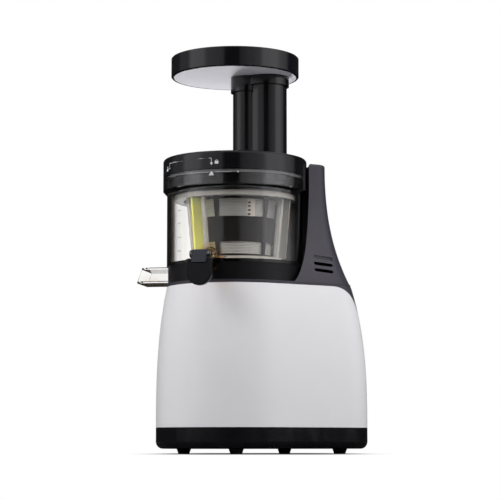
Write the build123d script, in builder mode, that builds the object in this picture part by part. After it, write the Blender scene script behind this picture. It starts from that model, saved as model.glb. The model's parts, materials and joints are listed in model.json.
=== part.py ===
from build123d import *
import math
import os

# Vertical slow juicer: a motor base with a rear column, a juicing bowl that lifts off the base,
# and a twist-on lid with a feed chute and a tray. Millimetres, +Z up, front towards -Y.

os.makedirs("parts", exist_ok=True)

# ---- driving dimensions -------------------------------------------------------------------
# base
foot_height = 5.0
foot_radius = 7.5
foot_spread_x = 50.0
foot_front = -29.0
foot_rear = 91.0
pan_height = 20.6
shell_height = 138.4
body_half_width = 77.7
body_back = 122.0
rear_corner_radius = 35.0
shoulder_step = 0.2
back_inset_ratio = 1.36
shoulder_power = 2.8
wall = 2.6
seam_drop_start = 71.0
seam_drop_radius = 36.0
seam_drop_angle = 60.0
pan_round = 7.0
screw_inset = 7.4
screw_boss = 5.0
screw_radius = 1.9
screw_head = 3.6
screw_head_depth = 3.0
screw_length = 34.0
rear_screw_y = 58.0
board_length = 64.0
board_width = 40.0
board_front_gap = 11.7
board_height = 14.0
board_thickness = 1.6
board_post_inset = 5.0
board_post_radius = 3.0
air_slot_count = 6
air_slot_width = 14.0
air_slot_height = 10.0
screw_clearance = 0.2
foot_flare = 2.0
foot_taper = 20.0
seal_lip = 2.0

# deck ring and column
deck_thickness = 3.0
ring_height = 20.0
ring_step = 0.7
ring_wall = 2.5
column_height = 124.0
column_half_width = 45.0
column_depth = 10.5
column_corner = 14.0
column_flare_power = 3.2
column_lean_power = 2.2
column_gap = 2.4
column_gap_low = 3.6
column_slice_angle = 12.5
vent_length = 22.0
vent_height = 3.2
vent_pitch = 6.7
vent_y = 69.0
vent_top = 29.0
vent_count = 3
vent_step = 1.2
vent_slope = 4.0
vent_reach = 40.0
deck_inset = 0.5
column_round = 2.0

# bowl, lid, chute, tray
bowl_radius = 67.7
bowl_height = 89.5
bowl_wall = 2.6
bowl_floor = 3.0
floor_hole = 12.5
ledge_height = 2.5
ledge_depth = 2.4
ledge_length = 16.0
ledge_phase = 10.0
lug_count = 4
bowl_ring_lip = 3.9
bowl_ring_height = 18.0
bowl_ring_chamfer = 4.2
ring_slope = 1.0
lug_embed = 0.5
spigot_gap = 2.5
spigot_wall = 2.0
spigot_depth = 12.0
lid_height = 18.0
lid_plate = 3.5
lid_skirt_depth = 8.5
lug_height = 3.0
lug_depth = 2.4
lug_play = 3.0
lid_round = 3.0
lid_rib_count = 8
lid_rib = 2.4
rib_lift = 4.0
funnel_mouth = 41.0
funnel_top = 54.0
boss_radius = 8.6
bush_outer = 7.0
seal_proud = 2.4
seal_height = 3.0
chute_height = 84.0
chute_angle = 55.0
small_lobe_radius = 14.0
small_lobe_offset = 12.0
large_lobe_radius = 20.0
large_lobe_offset = 32.0
chute_wall = 2.5
tray_height = 19.5
tray_radius = 64.0
tray_wall = 2.5
tray_floor = 2.5
collar_depth = 9.5
collar_wall = 1.8
small_collar_extra = 6.0
tray_clearance = 0.4
underside_thickness = 2.0

# outlets
pulp_angle = -132.0
pulp_out = 26.9
pulp_slant = 5.6
pulp_width = 45.0
pulp_height = 15.5
pulp_wall = 2.0
duct_gap = 0.5
duct_end_wall = 2.0
plug_radius = 7.0
pulp_port_offset = 28.0
pulp_port_radius = 9.0
spout_angle = -52.0
spout_out = 24.3
spout_tip_height = 172.0
spout_root_height = 190.5
spout_radius = 8.0
spout_bore = 6.2
spout_flange = 3.0
spout_collar_radius = 11.0
spout_collar_depth = 4.0
ear_inset = 0.2
lever_gap = 0.3
lever_room = 8.0
apron_half_width = 16.0
apron_drop = 17.0
apron_rise = 5.0
ear_radius = 3.6
ear_thickness = 2.5
cap_width = 25.0
cap_height = 25.5
cap_thickness = 4.6
cap_gap = 1.4
cap_chamfer = 1.0
cap_pivot_out = 1.0
cap_pivot_height = 189.0
cap_block_width = 14.5
cap_block_top = 4.0
cap_block_overlap = 3.6
cap_pin_radius = 1.5
stopper_radius = 5.5
stopper_reach = 1.0

# strainer, brush, screw
strainer_top_radius = 44.0
strainer_bottom_radius = 38.0
strainer_wall = 2.0
strainer_gap = 5.0
strainer_drop = 11.3
strainer_floor = 2.0
strainer_leg_radius = 4.0
rim_height = 4.0
rim_width = 2.0
window_count = 5
window_phase = 15.0
window_bar = 4.0
upper_window_height = 17.5
upper_window_sill = 39.0
lower_window_height = 12.0
lower_window_sill = 2.5
mesh_thickness = 0.8
mesh_lap = 1.5
brush_phase = -79.0
brush_unit_count = 3
brush_top_width = 9.0
brush_ring_height = 5.0
brush_top_drop = 7.7
brush_rim = 4.7
brush_rib_spread = 12.0
brush_rib_width = 4.0
brush_rib_depth = 3.0
brush_wall_gap = 5.1
blade_ring_gap = 3.0
blade_thickness = 2.4
blade_gap = 1.5
screw_pitch = 26.0
screw_core_bottom = 20.0
screw_core_top = 11.0
screw_gap = 1.5
screw_lobe_angle = 62.0
screw_spigot_radius = 9.5
screw_hole_radius = 16.8
screw_pin_radius = 5.0
screw_pin_length = 9.0
socket_radius = 8.0

# drive train
motor_offset = 78.0
motor_radius = 31.0
motor_can_height = 74.0
motor_seat = 32.0
motor_shaft_radius = 4.0
motor_cap = 4.0
bush_radius = 8.0
rotor_radius = 17.0
rotor_slots = 12
fan_height = 10.0
gear_margin = 2.0
leg_radius = 5.0
leg_spread = 30.0
fan_radius = 24.0
fan_blade_count = 7
stage_one_module = 1.0
pinion_teeth = 12
stage_one_teeth = 48
stage_two_module = 1.5
stage_two_pinion_teeth = 12
output_teeth = 52
bowl_gear_module = 2.0
sun_teeth = 14
idler_teeth = 14
idler_angle = 48.0
idler_pin_radius = 2.5
bowl_gear_height = 3.6
gear_lift = 0.9
gear_plate = 3.0
gear_width = 8.0
output_gear_width = 11.0
gear_cover_wall = 2.5
axle_radius = 3.0
shaft_radius = 7.0
shaft_hex = 10.0
shaft_reach = 44.0
bearing_wall = 4.0

# switch and cord inlet
switch_y = 45.0
switch_height = 75.0
switch_length = 30.0
switch_width = 20.0
switch_depth = 22.0
bezel_border = 2.5
bezel_thickness = 1.5
rocker_pivot_depth = 3.0
rocker_proud = 5.4
rocker_dip = 1.6
inlet_radius = 7.0
inlet_height = 42.0
inlet_x = -31.0
inlet_lip = 1.5
inlet_bore = 4.0
inlet_depth = 12.0
inlet_stand = 0.1
capacitor_radius = 6.0
capacitor_height = 18.0

# fits
running_fit = 0.06
hex_clearance = 0.2
moving_clearance = 0.8
lift_clearance = 1.0
seat_clearance = 0.4
lug_clearance = 0.6
weld_gap = 0.1

# ---- derived levels and places ------------------------------------------------------------
pan_top = foot_height + pan_height
deck_level = pan_top + shell_height
deck_top = deck_level + deck_thickness
bowl_seat = deck_level + ring_height
floor_top = bowl_seat + bowl_floor
lid_seat = bowl_seat + bowl_height
ring_bottom = lid_seat - bowl_ring_height
lid_top = lid_seat + lid_height
tray_bottom = lid_top + chute_height
tray_top = tray_bottom + tray_height
bowl_inner = bowl_radius - bowl_wall
bowl_ring_radius = bowl_radius + bowl_ring_lip
ring_inner = bowl_ring_radius - bowl_wall
skirt_radius = ring_inner - lug_depth - lug_clearance
ring_radius = bowl_radius - ring_step
spigot_radius = ring_radius - ring_wall - spigot_gap
shoulder_inset = body_half_width - bowl_radius + shoulder_step
column_clear_radius = bowl_ring_radius + column_gap
column_low_radius = bowl_radius + column_gap_low
column_back = column_clear_radius + column_depth
board_y = -(body_half_width - board_width / 2 - board_front_gap)
pulp_reach = bowl_radius + pulp_out
spout_reach = bowl_radius + spout_out
cap_pivot_offset = spout_reach + cap_pivot_out
brush_top_radius = bowl_inner - brush_wall_gap
strainer_base = floor_top + strainer_gap
strainer_top = lid_seat - strainer_drop
pan_floor = foot_height + wall


def along(angle):
    """Unit vector in plan at an angle from +X."""
    return math.cos(math.radians(angle)), math.sin(math.radians(angle))


# The overall box is centred on the origin, so the drive axis stands off it.
pulp_x, pulp_y = along(pulp_angle)
pulp_left = pulp_reach * pulp_x + pulp_width / 2 * pulp_y
pulp_front = pulp_reach * pulp_y + pulp_width / 2 * pulp_x
axis_x = -(body_half_width + pulp_left) / 2
axis_y = -(body_back + inlet_lip + pulp_front) / 2


def level(height):
    """Horizontal plane centred on the drive axis."""
    return Plane((axis_x, axis_y, height))


def radial_plane(angle):
    """Upright plane through the drive axis: local x runs outwards, local y is the height."""
    out_x, out_y = along(angle)
    return Plane(origin=(axis_x, axis_y, 0), x_dir=(out_x, out_y, 0), z_dir=(out_y, -out_x, 0))


def facing_plane(angle, distance, height):
    """Upright plane that faces away from the drive axis, at a distance from it."""
    out_x, out_y = along(angle)
    origin = (axis_x + distance * out_x, axis_y + distance * out_y, height)
    return Plane(origin=origin, x_dir=(-out_y, out_x, 0), z_dir=(out_x, out_y, 0))


def side_plane(offset):
    """Upright plane beside the drive axis: local x is the way back, local y is the height."""
    return Plane(origin=(axis_x + offset, axis_y, 0), x_dir=(0, 1, 0), z_dir=(1, 0, 0))


def back_plane(offset):
    """Upright plane behind the drive axis: local x runs along +X, local y is the height."""
    return Plane(origin=(axis_x, axis_y + offset, 0), x_dir=(1, 0, 0), z_dir=(0, -1, 0))


def finish(part, name):
    part.label = name
    export_step(part, f"parts/{name}.step")


def plan_section(height, inset):
    """Body outline at a height: half round about the drive axis in front, rounded corners behind."""
    half = body_half_width - inset
    back = body_back - inset * back_inset_ratio
    with BuildSketch(level(height)) as section:
        Circle(half)
        with Locations((0, back / 2)):
            Rectangle(2 * half, back)
        fillet(section.vertices().group_by(Axis.Y)[-1], rear_corner_radius - inset / 2)
    return section.sketch


def shell_inset(share):
    """The side walls lean in towards the shoulder, slowly at first."""
    return shoulder_inset * share**shoulder_power


def shell_sections(inset, low, high):
    shares = (0, 0.3, 0.6, 0.82, 1)
    bottom = pan_top + low
    rise = shell_height + high - low
    return [plan_section(bottom + share * rise, shell_inset(share) + inset) for share in shares]


def column_section(height, half, back, corner, inset=0):
    with BuildSketch(level(height)) as section:
        with Locations((0, (back - inset) / 2)):
            Rectangle(2 * (half - inset), back - inset)
        fillet(section.vertices().group_by(Axis.Y)[-1], corner - inset)
    return section.sketch


def column_half(share):
    """Half width of the column at a share of its height."""
    spread = body_half_width - shoulder_inset - column_half_width
    return column_half_width + spread * (1 - share) ** column_flare_power


def column_sections(inset, top):
    """The column is narrow above and sweeps out to the shoulders of the body."""
    shoulder_back = body_back - shoulder_inset * back_inset_ratio
    sweep_back = shoulder_back - column_back
    sections = []
    for share in (0, 0.1, 0.3, 0.5, 0.72, 1):
        flare = (1 - share) ** column_flare_power
        lean = (1 - share) ** column_lean_power
        half = column_half(share)
        back = column_back + sweep_back * lean
        corner = column_corner + (rear_corner_radius - shoulder_inset / 2 - column_corner) * flare
        height = deck_level + share * (column_height - top)
        sections.append(column_section(height, half, back, corner, inset))
    return sections


def above_seam(offset=0):
    """Everything above the seam between shell and top housing; the seam drops at the rear."""
    height = deck_level + offset
    far = body_back + body_half_width
    with BuildPart() as region:
        with BuildSketch(Plane((axis_x, axis_y, 0), x_dir=(0, 1, 0), z_dir=(1, 0, 0))):
            with BuildLine():
                flat = Line((-far, height), (seam_drop_start, height))
                drop = JernArc(flat @ 1, (1, 0), seam_drop_radius, -seam_drop_angle)
                slope = Line(drop @ 1, (drop @ 1) + (drop % 1) * far)
                back_up = Line(slope @ 1, ((slope @ 1).X, tray_top))
                over = Line(back_up @ 1, (-far, tray_top))
                Line(over @ 1, flat @ 0)
            make_face()
        extrude(amount=far, both=True)
    return region.part


def gear_outline(plane, teeth, module, phase, hub_radius=0):
    """Spur gear outline with straight flanks and a tooth centred at the phase angle."""
    pitch_radius = teeth * module / 2
    half_tooth = 0.2 * math.pi * module
    lean = math.tan(math.radians(20))
    tip, root = 0.9 * module, 1.15 * module
    embed = 0.5 * module
    tooth = [
        (pitch_radius - root - embed, -half_tooth - root * lean),
        (pitch_radius + tip, -half_tooth + tip * lean),
        (pitch_radius + tip, half_tooth - tip * lean),
        (pitch_radius - root - embed, half_tooth + root * lean),
    ]
    with BuildSketch(plane) as outline:
        Circle(pitch_radius - root)
        with PolarLocations(0, teeth, phase):
            Polygon(*tooth, align=None)
        if hub_radius:
            Circle(hub_radius, mode=Mode.SUBTRACT)
    return outline.sketch


# ---- base: pan, feet, shell ---------------------------------------------------------------
foot_places = [(x, y) for x in (-foot_spread_x, foot_spread_x) for y in (foot_front, foot_rear)]
board_post_x = board_length / 2 - board_post_inset
board_post_y = board_width / 2 - board_post_inset
board_places = [(x, board_y + y) for x in (-board_post_x, board_post_x) for y in (-board_post_y, board_post_y)]
screw_ring = body_half_width - screw_inset
front_screws = [(screw_ring * along(a)[0], screw_ring * along(a)[1]) for a in (-40, -140)]
screw_places = front_screws + [(-screw_ring, rear_screw_y), (screw_ring, rear_screw_y)]
motor_base = motor_seat - motor_cap

with BuildPart() as base_pan:
    extrude(plan_section(foot_height, 0), amount=pan_height)
    fillet(base_pan.faces().sort_by(Axis.Z)[0].edges(), pan_round)
    extrude(plan_section(pan_floor, wall), amount=pan_height, mode=Mode.SUBTRACT)
    with BuildSketch(level(pan_floor)):
        with Locations((0, motor_offset)):
            Circle(motor_radius - wall)
            Circle(fan_radius + lift_clearance, mode=Mode.SUBTRACT)
    extrude(amount=motor_base - pan_floor)
    with BuildSketch(level(pan_floor + wall)):
        with Locations((0, motor_offset)):
            with PolarLocations(motor_radius, air_slot_count):
                Rectangle(2 * motor_radius - 2 * fan_radius, air_slot_width)
    extrude(amount=air_slot_height, mode=Mode.SUBTRACT)
    with BuildSketch(level(pan_floor)):
        with Locations(*board_places):
            Circle(board_post_radius)
    extrude(amount=board_height - pan_floor)
    with BuildSketch(level(foot_height)):
        with Locations(*screw_places):
            Circle(screw_boss)
    extrude(amount=pan_height)
    with Locations(*[level(foot_height).from_local_coords(Vector(x, y, 0)) for x, y in screw_places]):
        Cylinder(screw_radius + screw_clearance, 3 * pan_height, mode=Mode.SUBTRACT)
        Cylinder(screw_head + screw_clearance, 2 * screw_head_depth, mode=Mode.SUBTRACT)
finish(base_pan.part, "base_pan")

with BuildPart() as rubber_feet:
    with BuildSketch(level(0)):
        with Locations(*foot_places):
            Circle(foot_radius - foot_flare)
    extrude(amount=foot_height, taper=-foot_taper)
finish(rubber_feet.part, "rubber_feet")

with BuildPart() as base_screws:
    with BuildSketch(level(foot_height + seat_clearance)):
        with Locations(*screw_places):
            Circle(screw_head)
    extrude(amount=screw_head_depth - seat_clearance)
    with BuildSketch(level(foot_height + screw_head_depth)):
        with Locations(*screw_places):
            Circle(screw_radius)
    extrude(amount=screw_length)
finish(base_screws.part, "base_screws")

with BuildPart() as body_shell:
    loft(shell_sections(0, 0, 0))
    loft(shell_sections(wall, -1, 1), mode=Mode.SUBTRACT)
    with BuildSketch(level(pan_top)):
        with Locations(*screw_places):
            Circle(screw_boss)
        with Locations(*screw_places):
            Circle(screw_radius + screw_clearance, mode=Mode.SUBTRACT)
    extrude(amount=screw_length)
    add(above_seam(), mode=Mode.SUBTRACT)
    with BuildSketch(side_plane(-body_half_width - wall)):
        with Locations((switch_y, switch_height)):
            Rectangle(switch_length, switch_width)
    extrude(amount=switch_depth, mode=Mode.SUBTRACT)
    with BuildSketch(back_plane(body_back + wall)):
        with Locations((inlet_x, inlet_height)):
            Circle(inlet_radius)
    extrude(amount=inlet_depth + wall, mode=Mode.SUBTRACT)
finish(body_shell.part, "body_shell")

# ---- base: top housing with the bowl seat and the rear column --------------------------------
def bowl_room(grow):
    """Space that the column leaves for the bowl and the lid: conical below the bowl's ring, straight above."""
    floor = deck_top if grow == 0 else deck_level
    with BuildPart() as room:
        with BuildSketch(radial_plane(0)):
            Polygon(
                (0, floor),
                (column_low_radius + grow, floor),
                (column_low_radius + grow, bowl_seat),
                (column_clear_radius + grow, ring_bottom),
                (column_clear_radius + grow, tray_bottom),
                (0, tray_bottom),
                align=None,
            )
        revolve(axis=Axis((axis_x, axis_y, 0), (0, 0, 1)))
    return room.part


with BuildPart() as column_cavity:
    loft(column_sections(wall, wall))
    add(bowl_room(wall), mode=Mode.SUBTRACT)
with BuildPart() as shoulder_cavity:
    loft(shell_sections(wall, 0, 0))
    add(above_seam(), mode=Mode.INTERSECT)

with BuildPart() as column_outside:
    loft(column_sections(0, 0))
    add(bowl_room(0), mode=Mode.SUBTRACT)
    fillet(column_outside.faces().sort_by(Axis.Z)[-1].edges(), column_round)

with BuildPart() as column_foot:
    add(column_outside.part)
    split(bisect_by=level(deck_top), keep=Keep.BOTTOM)

with BuildPart() as top_housing:
    loft(shell_sections(0, 0, 0))
    add(above_seam(), mode=Mode.INTERSECT)
    extrude(plan_section(deck_level, shoulder_inset + deck_inset), amount=deck_thickness)
    add(column_foot.part)
    add(column_cavity.part, mode=Mode.SUBTRACT)
    add(shoulder_cavity.part, mode=Mode.SUBTRACT)
    with BuildSketch(level(deck_level)):
        Circle(shaft_radius + bearing_wall)
    extrude(amount=deck_thickness, mode=Mode.SUBTRACT)
finish(top_housing.part, "top_housing")

with BuildPart() as seat_ring:
    with BuildSketch(level(deck_top)):
        Circle(ring_radius)
        Circle(ring_radius - ring_wall, mode=Mode.SUBTRACT)
    extrude(amount=bowl_seat - deck_top)
    with BuildSketch(facing_plane(pulp_angle, 0, deck_top + ring_height / 2)):
        Rectangle(pulp_width + 2 * moving_clearance, ring_height)
    extrude(amount=body_half_width, mode=Mode.SUBTRACT)
finish(seat_ring.part, "seat_ring")

vent_level = deck_level + vent_top
vent_share = (vent_top - (vent_count - 1) / 2 * vent_pitch) / column_height
vent_inner = column_half(vent_share) - wall - moving_clearance
with BuildPart() as column_shell:
    add(column_outside.part)
    split(bisect_by=level(deck_top), keep=Keep.TOP)
    add(column_cavity.part, mode=Mode.SUBTRACT)
    for side in (-1, 1):
        with BuildSketch(side_plane(side * vent_inner)):
            for row in range(vent_count):
                with Locations((vent_y - row * vent_step, vent_level - row * vent_pitch)):
                    SlotOverall(vent_length, vent_height, rotation=-vent_slope)
        extrude(amount=side * vent_reach, mode=Mode.SUBTRACT)

# the column in three slices round the drive axis
right_cut = radial_plane(90 - column_slice_angle)
left_cut = radial_plane(90 + column_slice_angle)
with BuildPart() as rear_column:
    add(column_shell.part)
    split(bisect_by=right_cut, keep=Keep.BOTTOM)
    split(bisect_by=left_cut, keep=Keep.TOP)
finish(rear_column.part, "rear_column")

with BuildPart() as column_right_wing:
    add(column_shell.part)
    split(bisect_by=right_cut, keep=Keep.TOP)
finish(column_right_wing.part, "column_right_wing")

with BuildPart() as column_left_wing:
    add(column_shell.part)
    split(bisect_by=left_cut, keep=Keep.BOTTOM)
finish(column_left_wing.part, "column_left_wing")

with BuildPart() as deck_seal:
    with BuildSketch(level(deck_level)):
        Circle(shaft_radius + bearing_wall)
        Circle(shaft_radius + running_fit, mode=Mode.SUBTRACT)
    extrude(amount=deck_thickness)
    with BuildSketch(level(deck_top)):
        Circle(shaft_radius + bearing_wall + seal_lip)
        Circle(shaft_radius + running_fit, mode=Mode.SUBTRACT)
    extrude(amount=seal_lip)
    chamfer(deck_seal.faces().sort_by(Axis.Z)[-1].edges().sort_by(SortBy.RADIUS)[-1], seal_lip / 2)
finish(deck_seal.part, "deck_seal")

# ---- base: motor, gear train and electrics -----------------------------------------------------
stage_one_distance = (pinion_teeth + stage_one_teeth) * stage_one_module / 2
compound_y = motor_offset - stage_one_distance
motor_top = motor_seat + motor_can_height
plate_top = motor_top + gear_plate
stage_one_level = plate_top + 2
stage_two_level = stage_one_level + gear_width
output_level = stage_two_level + 2
cover_inner_top = output_level + output_gear_width + 4
cover_top = cover_inner_top + gear_cover_wall
output_tip = output_teeth * stage_two_module / 2 + stage_two_module
stage_one_tip = stage_one_teeth * stage_one_module / 2 + stage_one_module
leg_y = board_y + board_width / 2 + leg_radius + 1
leg_places = [(x, leg_y) for x in (-leg_spread, leg_spread)]

with BuildPart() as motor_can:
    with BuildSketch(level(motor_seat)):
        with Locations((0, motor_offset)):
            Circle(motor_radius)
    extrude(amount=motor_can_height)
    chamfer(motor_can.faces().sort_by(Axis.Z)[-1].edges(), 2)
    with BuildSketch(level(motor_seat)):
        with Locations((0, motor_offset)):
            Circle(rotor_radius + lift_clearance)
    extrude(amount=motor_can_height - motor_cap, mode=Mode.SUBTRACT)
    with BuildSketch(level(motor_seat)):
        with Locations((0, motor_offset)):
            Circle(bush_radius)
    extrude(amount=motor_can_height, mode=Mode.SUBTRACT)
finish(motor_can.part, "motor_can")

with BuildPart() as motor_end_cap:
    with BuildSketch(level(motor_base)):
        with Locations((0, motor_offset)):
            Circle(motor_radius)
            Circle(bush_radius, mode=Mode.SUBTRACT)
            with PolarLocations((bush_radius + motor_radius) / 2, 6):
                Circle(4, mode=Mode.SUBTRACT)
    extrude(amount=motor_cap)
finish(motor_end_cap.part, "motor_end_cap")

with BuildPart() as motor_bushes:
    for height in (motor_base, motor_top - motor_cap):
        with BuildSketch(level(height)):
            with Locations((0, motor_offset)):
                Circle(bush_radius)
                Circle(motor_shaft_radius + running_fit, mode=Mode.SUBTRACT)
        extrude(amount=motor_cap)
finish(motor_bushes.part, "motor_bushes")

with BuildPart() as motor_shaft:
    with BuildSketch(level(pan_floor + 3)):
        with Locations((0, motor_offset)):
            Circle(motor_shaft_radius)
    extrude(amount=stage_two_level - pan_floor)
finish(motor_shaft.part, "motor_shaft")

with BuildPart() as rotor_core:
    with BuildSketch(level(motor_seat + 8)):
        with Locations((0, motor_offset)):
            Circle(rotor_radius)
            with PolarLocations(rotor_radius, rotor_slots):
                Rectangle(5, 1.6, mode=Mode.SUBTRACT)
            Circle(motor_shaft_radius, mode=Mode.SUBTRACT)
    extrude(amount=motor_can_height - motor_cap - 16)
finish(rotor_core.part, "rotor_core")

with BuildPart() as cooling_fan:
    with BuildSketch(level(pan_floor + 5)):
        with Locations((0, motor_offset)):
            Circle(fan_radius)
            Circle(motor_shaft_radius, mode=Mode.SUBTRACT)
    extrude(amount=1.5)
    with BuildSketch(level(pan_floor + 5)):
        with Locations((0, motor_offset)):
            with PolarLocations(fan_radius / 2 + 3, fan_blade_count):
                Rectangle(fan_radius - 8, 1.6, rotation=20)
            Circle(motor_shaft_radius + 3)
            Circle(motor_shaft_radius, mode=Mode.SUBTRACT)
    extrude(amount=fan_height)
finish(cooling_fan.part, "cooling_fan")

with BuildPart() as motor_pinion:
    pinion_plane = Plane((axis_x, axis_y + motor_offset, stage_one_level - 1))
    pinion_phase = -90 + 180 / pinion_teeth
    extrude(
        gear_outline(pinion_plane, pinion_teeth, stage_one_module, pinion_phase, motor_shaft_radius),
        amount=gear_width + 1,
    )
finish(motor_pinion.part, "motor_pinion")


def train_outline(margin):
    """Outline around the three gear centres."""
    with BuildSketch() as outline:
        with BuildSketch():
            Circle(output_tip + margin)
            with Locations((0, compound_y)):
                Circle(stage_one_tip + margin)
            with Locations((0, motor_offset)):
                Circle(stage_one_tip / 2 + margin)
        make_hull()
    return outline.sketch


with BuildPart() as gear_base:
    with BuildSketch(level(motor_top)):
        add(train_outline(gear_margin + gear_cover_wall))
        Circle(shaft_radius + bearing_wall, mode=Mode.SUBTRACT)
        with Locations((0, compound_y)):
            Circle(axle_radius, mode=Mode.SUBTRACT)
        with Locations((0, motor_offset)):
            Circle(bush_radius, mode=Mode.SUBTRACT)
    extrude(amount=gear_plate)
    with BuildSketch(level(pan_floor)):
        with Locations(*leg_places):
            Circle(leg_radius)
    extrude(amount=motor_top - pan_floor)
finish(gear_base.part, "gear_base")

with BuildPart() as gear_cover:
    with BuildSketch(level(plate_top)):
        add(train_outline(gear_margin + gear_cover_wall))
    extrude(amount=cover_top - plate_top)
    with BuildSketch(level(plate_top)):
        add(train_outline(gear_margin))
    extrude(amount=cover_inner_top - plate_top, mode=Mode.SUBTRACT)
    with BuildSketch(level(cover_inner_top)):
        Circle(shaft_radius + bearing_wall + 3)
    extrude(amount=gear_plate + bearing_wall)
    with BuildSketch(level(cover_inner_top)):
        Circle(shaft_radius + bearing_wall)
        with Locations((0, compound_y)):
            Circle(axle_radius)
    extrude(amount=gear_plate + bearing_wall, mode=Mode.SUBTRACT)
finish(gear_cover.part, "gear_cover")

with BuildPart() as cover_screws:
    for x in (-1, 1):
        for share in (0.15, 0.85):
            out_x = x * (output_tip - 6) * (1 - 0.45 * share)
            out_y = compound_y * share
            with BuildSketch(level(cover_top)):
                with Locations((out_x, out_y)):
                    Circle(screw_head)
                    Rectangle(4.4, 1, mode=Mode.SUBTRACT)
                    Rectangle(1, 4.4, mode=Mode.SUBTRACT)
            extrude(amount=2)
finish(cover_screws.part, "cover_screws")

with BuildPart() as shaft_bearings:
    for height in (motor_top, cover_inner_top):
        with BuildSketch(level(height)):
            Circle(shaft_radius + bearing_wall)
            Circle(shaft_radius + running_fit, mode=Mode.SUBTRACT)
        extrude(amount=gear_plate + bearing_wall)
finish(shaft_bearings.part, "shaft_bearings")

with BuildPart() as gear_axle:
    with BuildSketch(level(motor_top)):
        with Locations((0, compound_y)):
            Circle(axle_radius)
    extrude(amount=cover_top - motor_top)
finish(gear_axle.part, "gear_axle")

with BuildPart() as compound_gear:
    low_plane = Plane((axis_x, axis_y + compound_y, stage_one_level))
    high_plane = Plane((axis_x, axis_y + compound_y, stage_two_level))
    extrude(
        gear_outline(low_plane, stage_one_teeth, stage_one_module, 90, axle_radius + running_fit),
        amount=gear_width,
    )
    extrude(
        gear_outline(
            high_plane, stage_two_pinion_teeth, stage_two_module, -90, axle_radius + running_fit
        ),
        amount=output_gear_width + 3,
    )
finish(compound_gear.part, "compound_gear")

with BuildPart() as output_gear:
    output_phase = 90 + 180 / output_teeth
    extrude(
        gear_outline(level(output_level), output_teeth, stage_two_module, output_phase, shaft_radius),
        amount=output_gear_width,
    )
    with BuildSketch(level(output_level)):
        with PolarLocations((output_tip + shaft_radius) / 2 - 1, 6):
            Circle(output_tip / 6)
    extrude(amount=output_gear_width, mode=Mode.SUBTRACT)
    with BuildSketch(level(motor_top + gear_plate + bearing_wall + seat_clearance)):
        Circle(shaft_radius + 4)
        Circle(shaft_radius, mode=Mode.SUBTRACT)
    extrude(amount=cover_inner_top - plate_top - bearing_wall - 2 * seat_clearance)
finish(output_gear.part, "output_gear")

hex_bottom = deck_top + 3
with BuildPart() as drive_shaft:
    with BuildSketch(level(motor_top - 2)):
        Circle(shaft_radius)
    extrude(amount=hex_bottom - motor_top + 2)
    with BuildSketch(level(hex_bottom)):
        RegularPolygon(shaft_hex / 2, 6, major_radius=False)
    extrude(amount=bowl_seat + shaft_reach - hex_bottom)
    chamfer(drive_shaft.faces().sort_by(Axis.Z)[-1].edges(), 1)
finish(drive_shaft.part, "drive_shaft")

with BuildPart() as circuit_board:
    with BuildSketch(level(board_height)):
        with Locations((0, board_y)):
            Rectangle(board_length, board_width)
    extrude(amount=board_thickness)
finish(circuit_board.part, "circuit_board")

with BuildPart() as board_parts:
    with BuildSketch(level(board_height + board_thickness)):
        with Locations((-20, board_y), (-2, board_y - 7)):
            Circle(capacitor_radius)
    extrude(amount=capacitor_height)
    chamfer(board_parts.faces().group_by(Axis.Z)[-1].edges(), 0.8)
    with BuildSketch(level(board_height + board_thickness)):
        with Locations((20, board_y + 3)):
            Rectangle(18, 22)
    extrude(amount=capacitor_height * 0.8)
    with BuildSketch(level(board_height + board_thickness)):
        with Locations((-4, board_y + 11)):
            Rectangle(14, 8)
    extrude(amount=capacitor_height * 0.4)
finish(board_parts.part, "board_parts")

# ---- base: rocker switch on the left wall, cord inlet at the back --------------------------------
bezel_low = switch_height - switch_width / 2 - bezel_border
switch_share = (bezel_low - pan_top) / shell_height
switch_face = -(body_half_width - shell_inset(switch_share) + 0.2)
bezel_outer = switch_face - bezel_thickness
pivot_x = switch_face + rocker_pivot_depth

with BuildPart() as switch_frame:
    with BuildSketch(side_plane(bezel_outer)):
        with Locations((switch_y, switch_height)):
            Rectangle(switch_length + 2 * bezel_border, switch_width + 2 * bezel_border)
    extrude(amount=bezel_thickness)
    chamfer(switch_frame.faces().sort_by(Axis.X)[0].edges(), 0.6)
    with BuildSketch(side_plane(switch_face)):
        with Locations((switch_y, switch_height)):
            Rectangle(switch_length - seat_clearance, switch_width - seat_clearance)
    extrude(amount=switch_depth)
    with BuildSketch(side_plane(bezel_outer)):
        with Locations((switch_y, switch_height)):
            Rectangle(switch_length - 2 * bezel_border, switch_width - 2 * bezel_border)
    extrude(amount=switch_depth - 6, mode=Mode.SUBTRACT)
finish(switch_frame.part, "switch_frame")

rocker_half = switch_width / 2 - bezel_border - seat_clearance
with BuildPart() as rocker_pin:
    pin_plane = Plane(origin=(axis_x + pivot_x, axis_y + switch_y, switch_height), z_dir=(0, 1, 0))
    with BuildSketch(pin_plane):
        Circle(cap_pin_radius)
    extrude(amount=switch_length / 2 - bezel_border, both=True)
finish(rocker_pin.part, "rocker_pin")

with BuildPart() as power_rocker:
    rocker_end = axis_y + switch_y + switch_length / 2 - bezel_border - seat_clearance
    profile_plane = Plane(origin=(axis_x + pivot_x, rocker_end, switch_height), z_dir=(0, -1, 0))
    with BuildSketch(profile_plane):
        with BuildLine():
            outer = Line((-rocker_proud, rocker_half), (-rocker_proud + rocker_dip, 0))
            lower = Line(outer @ 1, (-rocker_proud, -rocker_half))
            back_low = Line(lower @ 1, (0, -rocker_half))
            belly = ThreePointArc(back_low @ 1, (rocker_half * 0.6, 0), (0, rocker_half))
            Line(belly @ 1, outer @ 0)
        make_face()
        Circle(cap_pin_radius + running_fit, mode=Mode.SUBTRACT)
    extrude(amount=switch_length - 2 * bezel_border - 2 * seat_clearance)
finish(power_rocker.part, "power_rocker")

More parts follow.
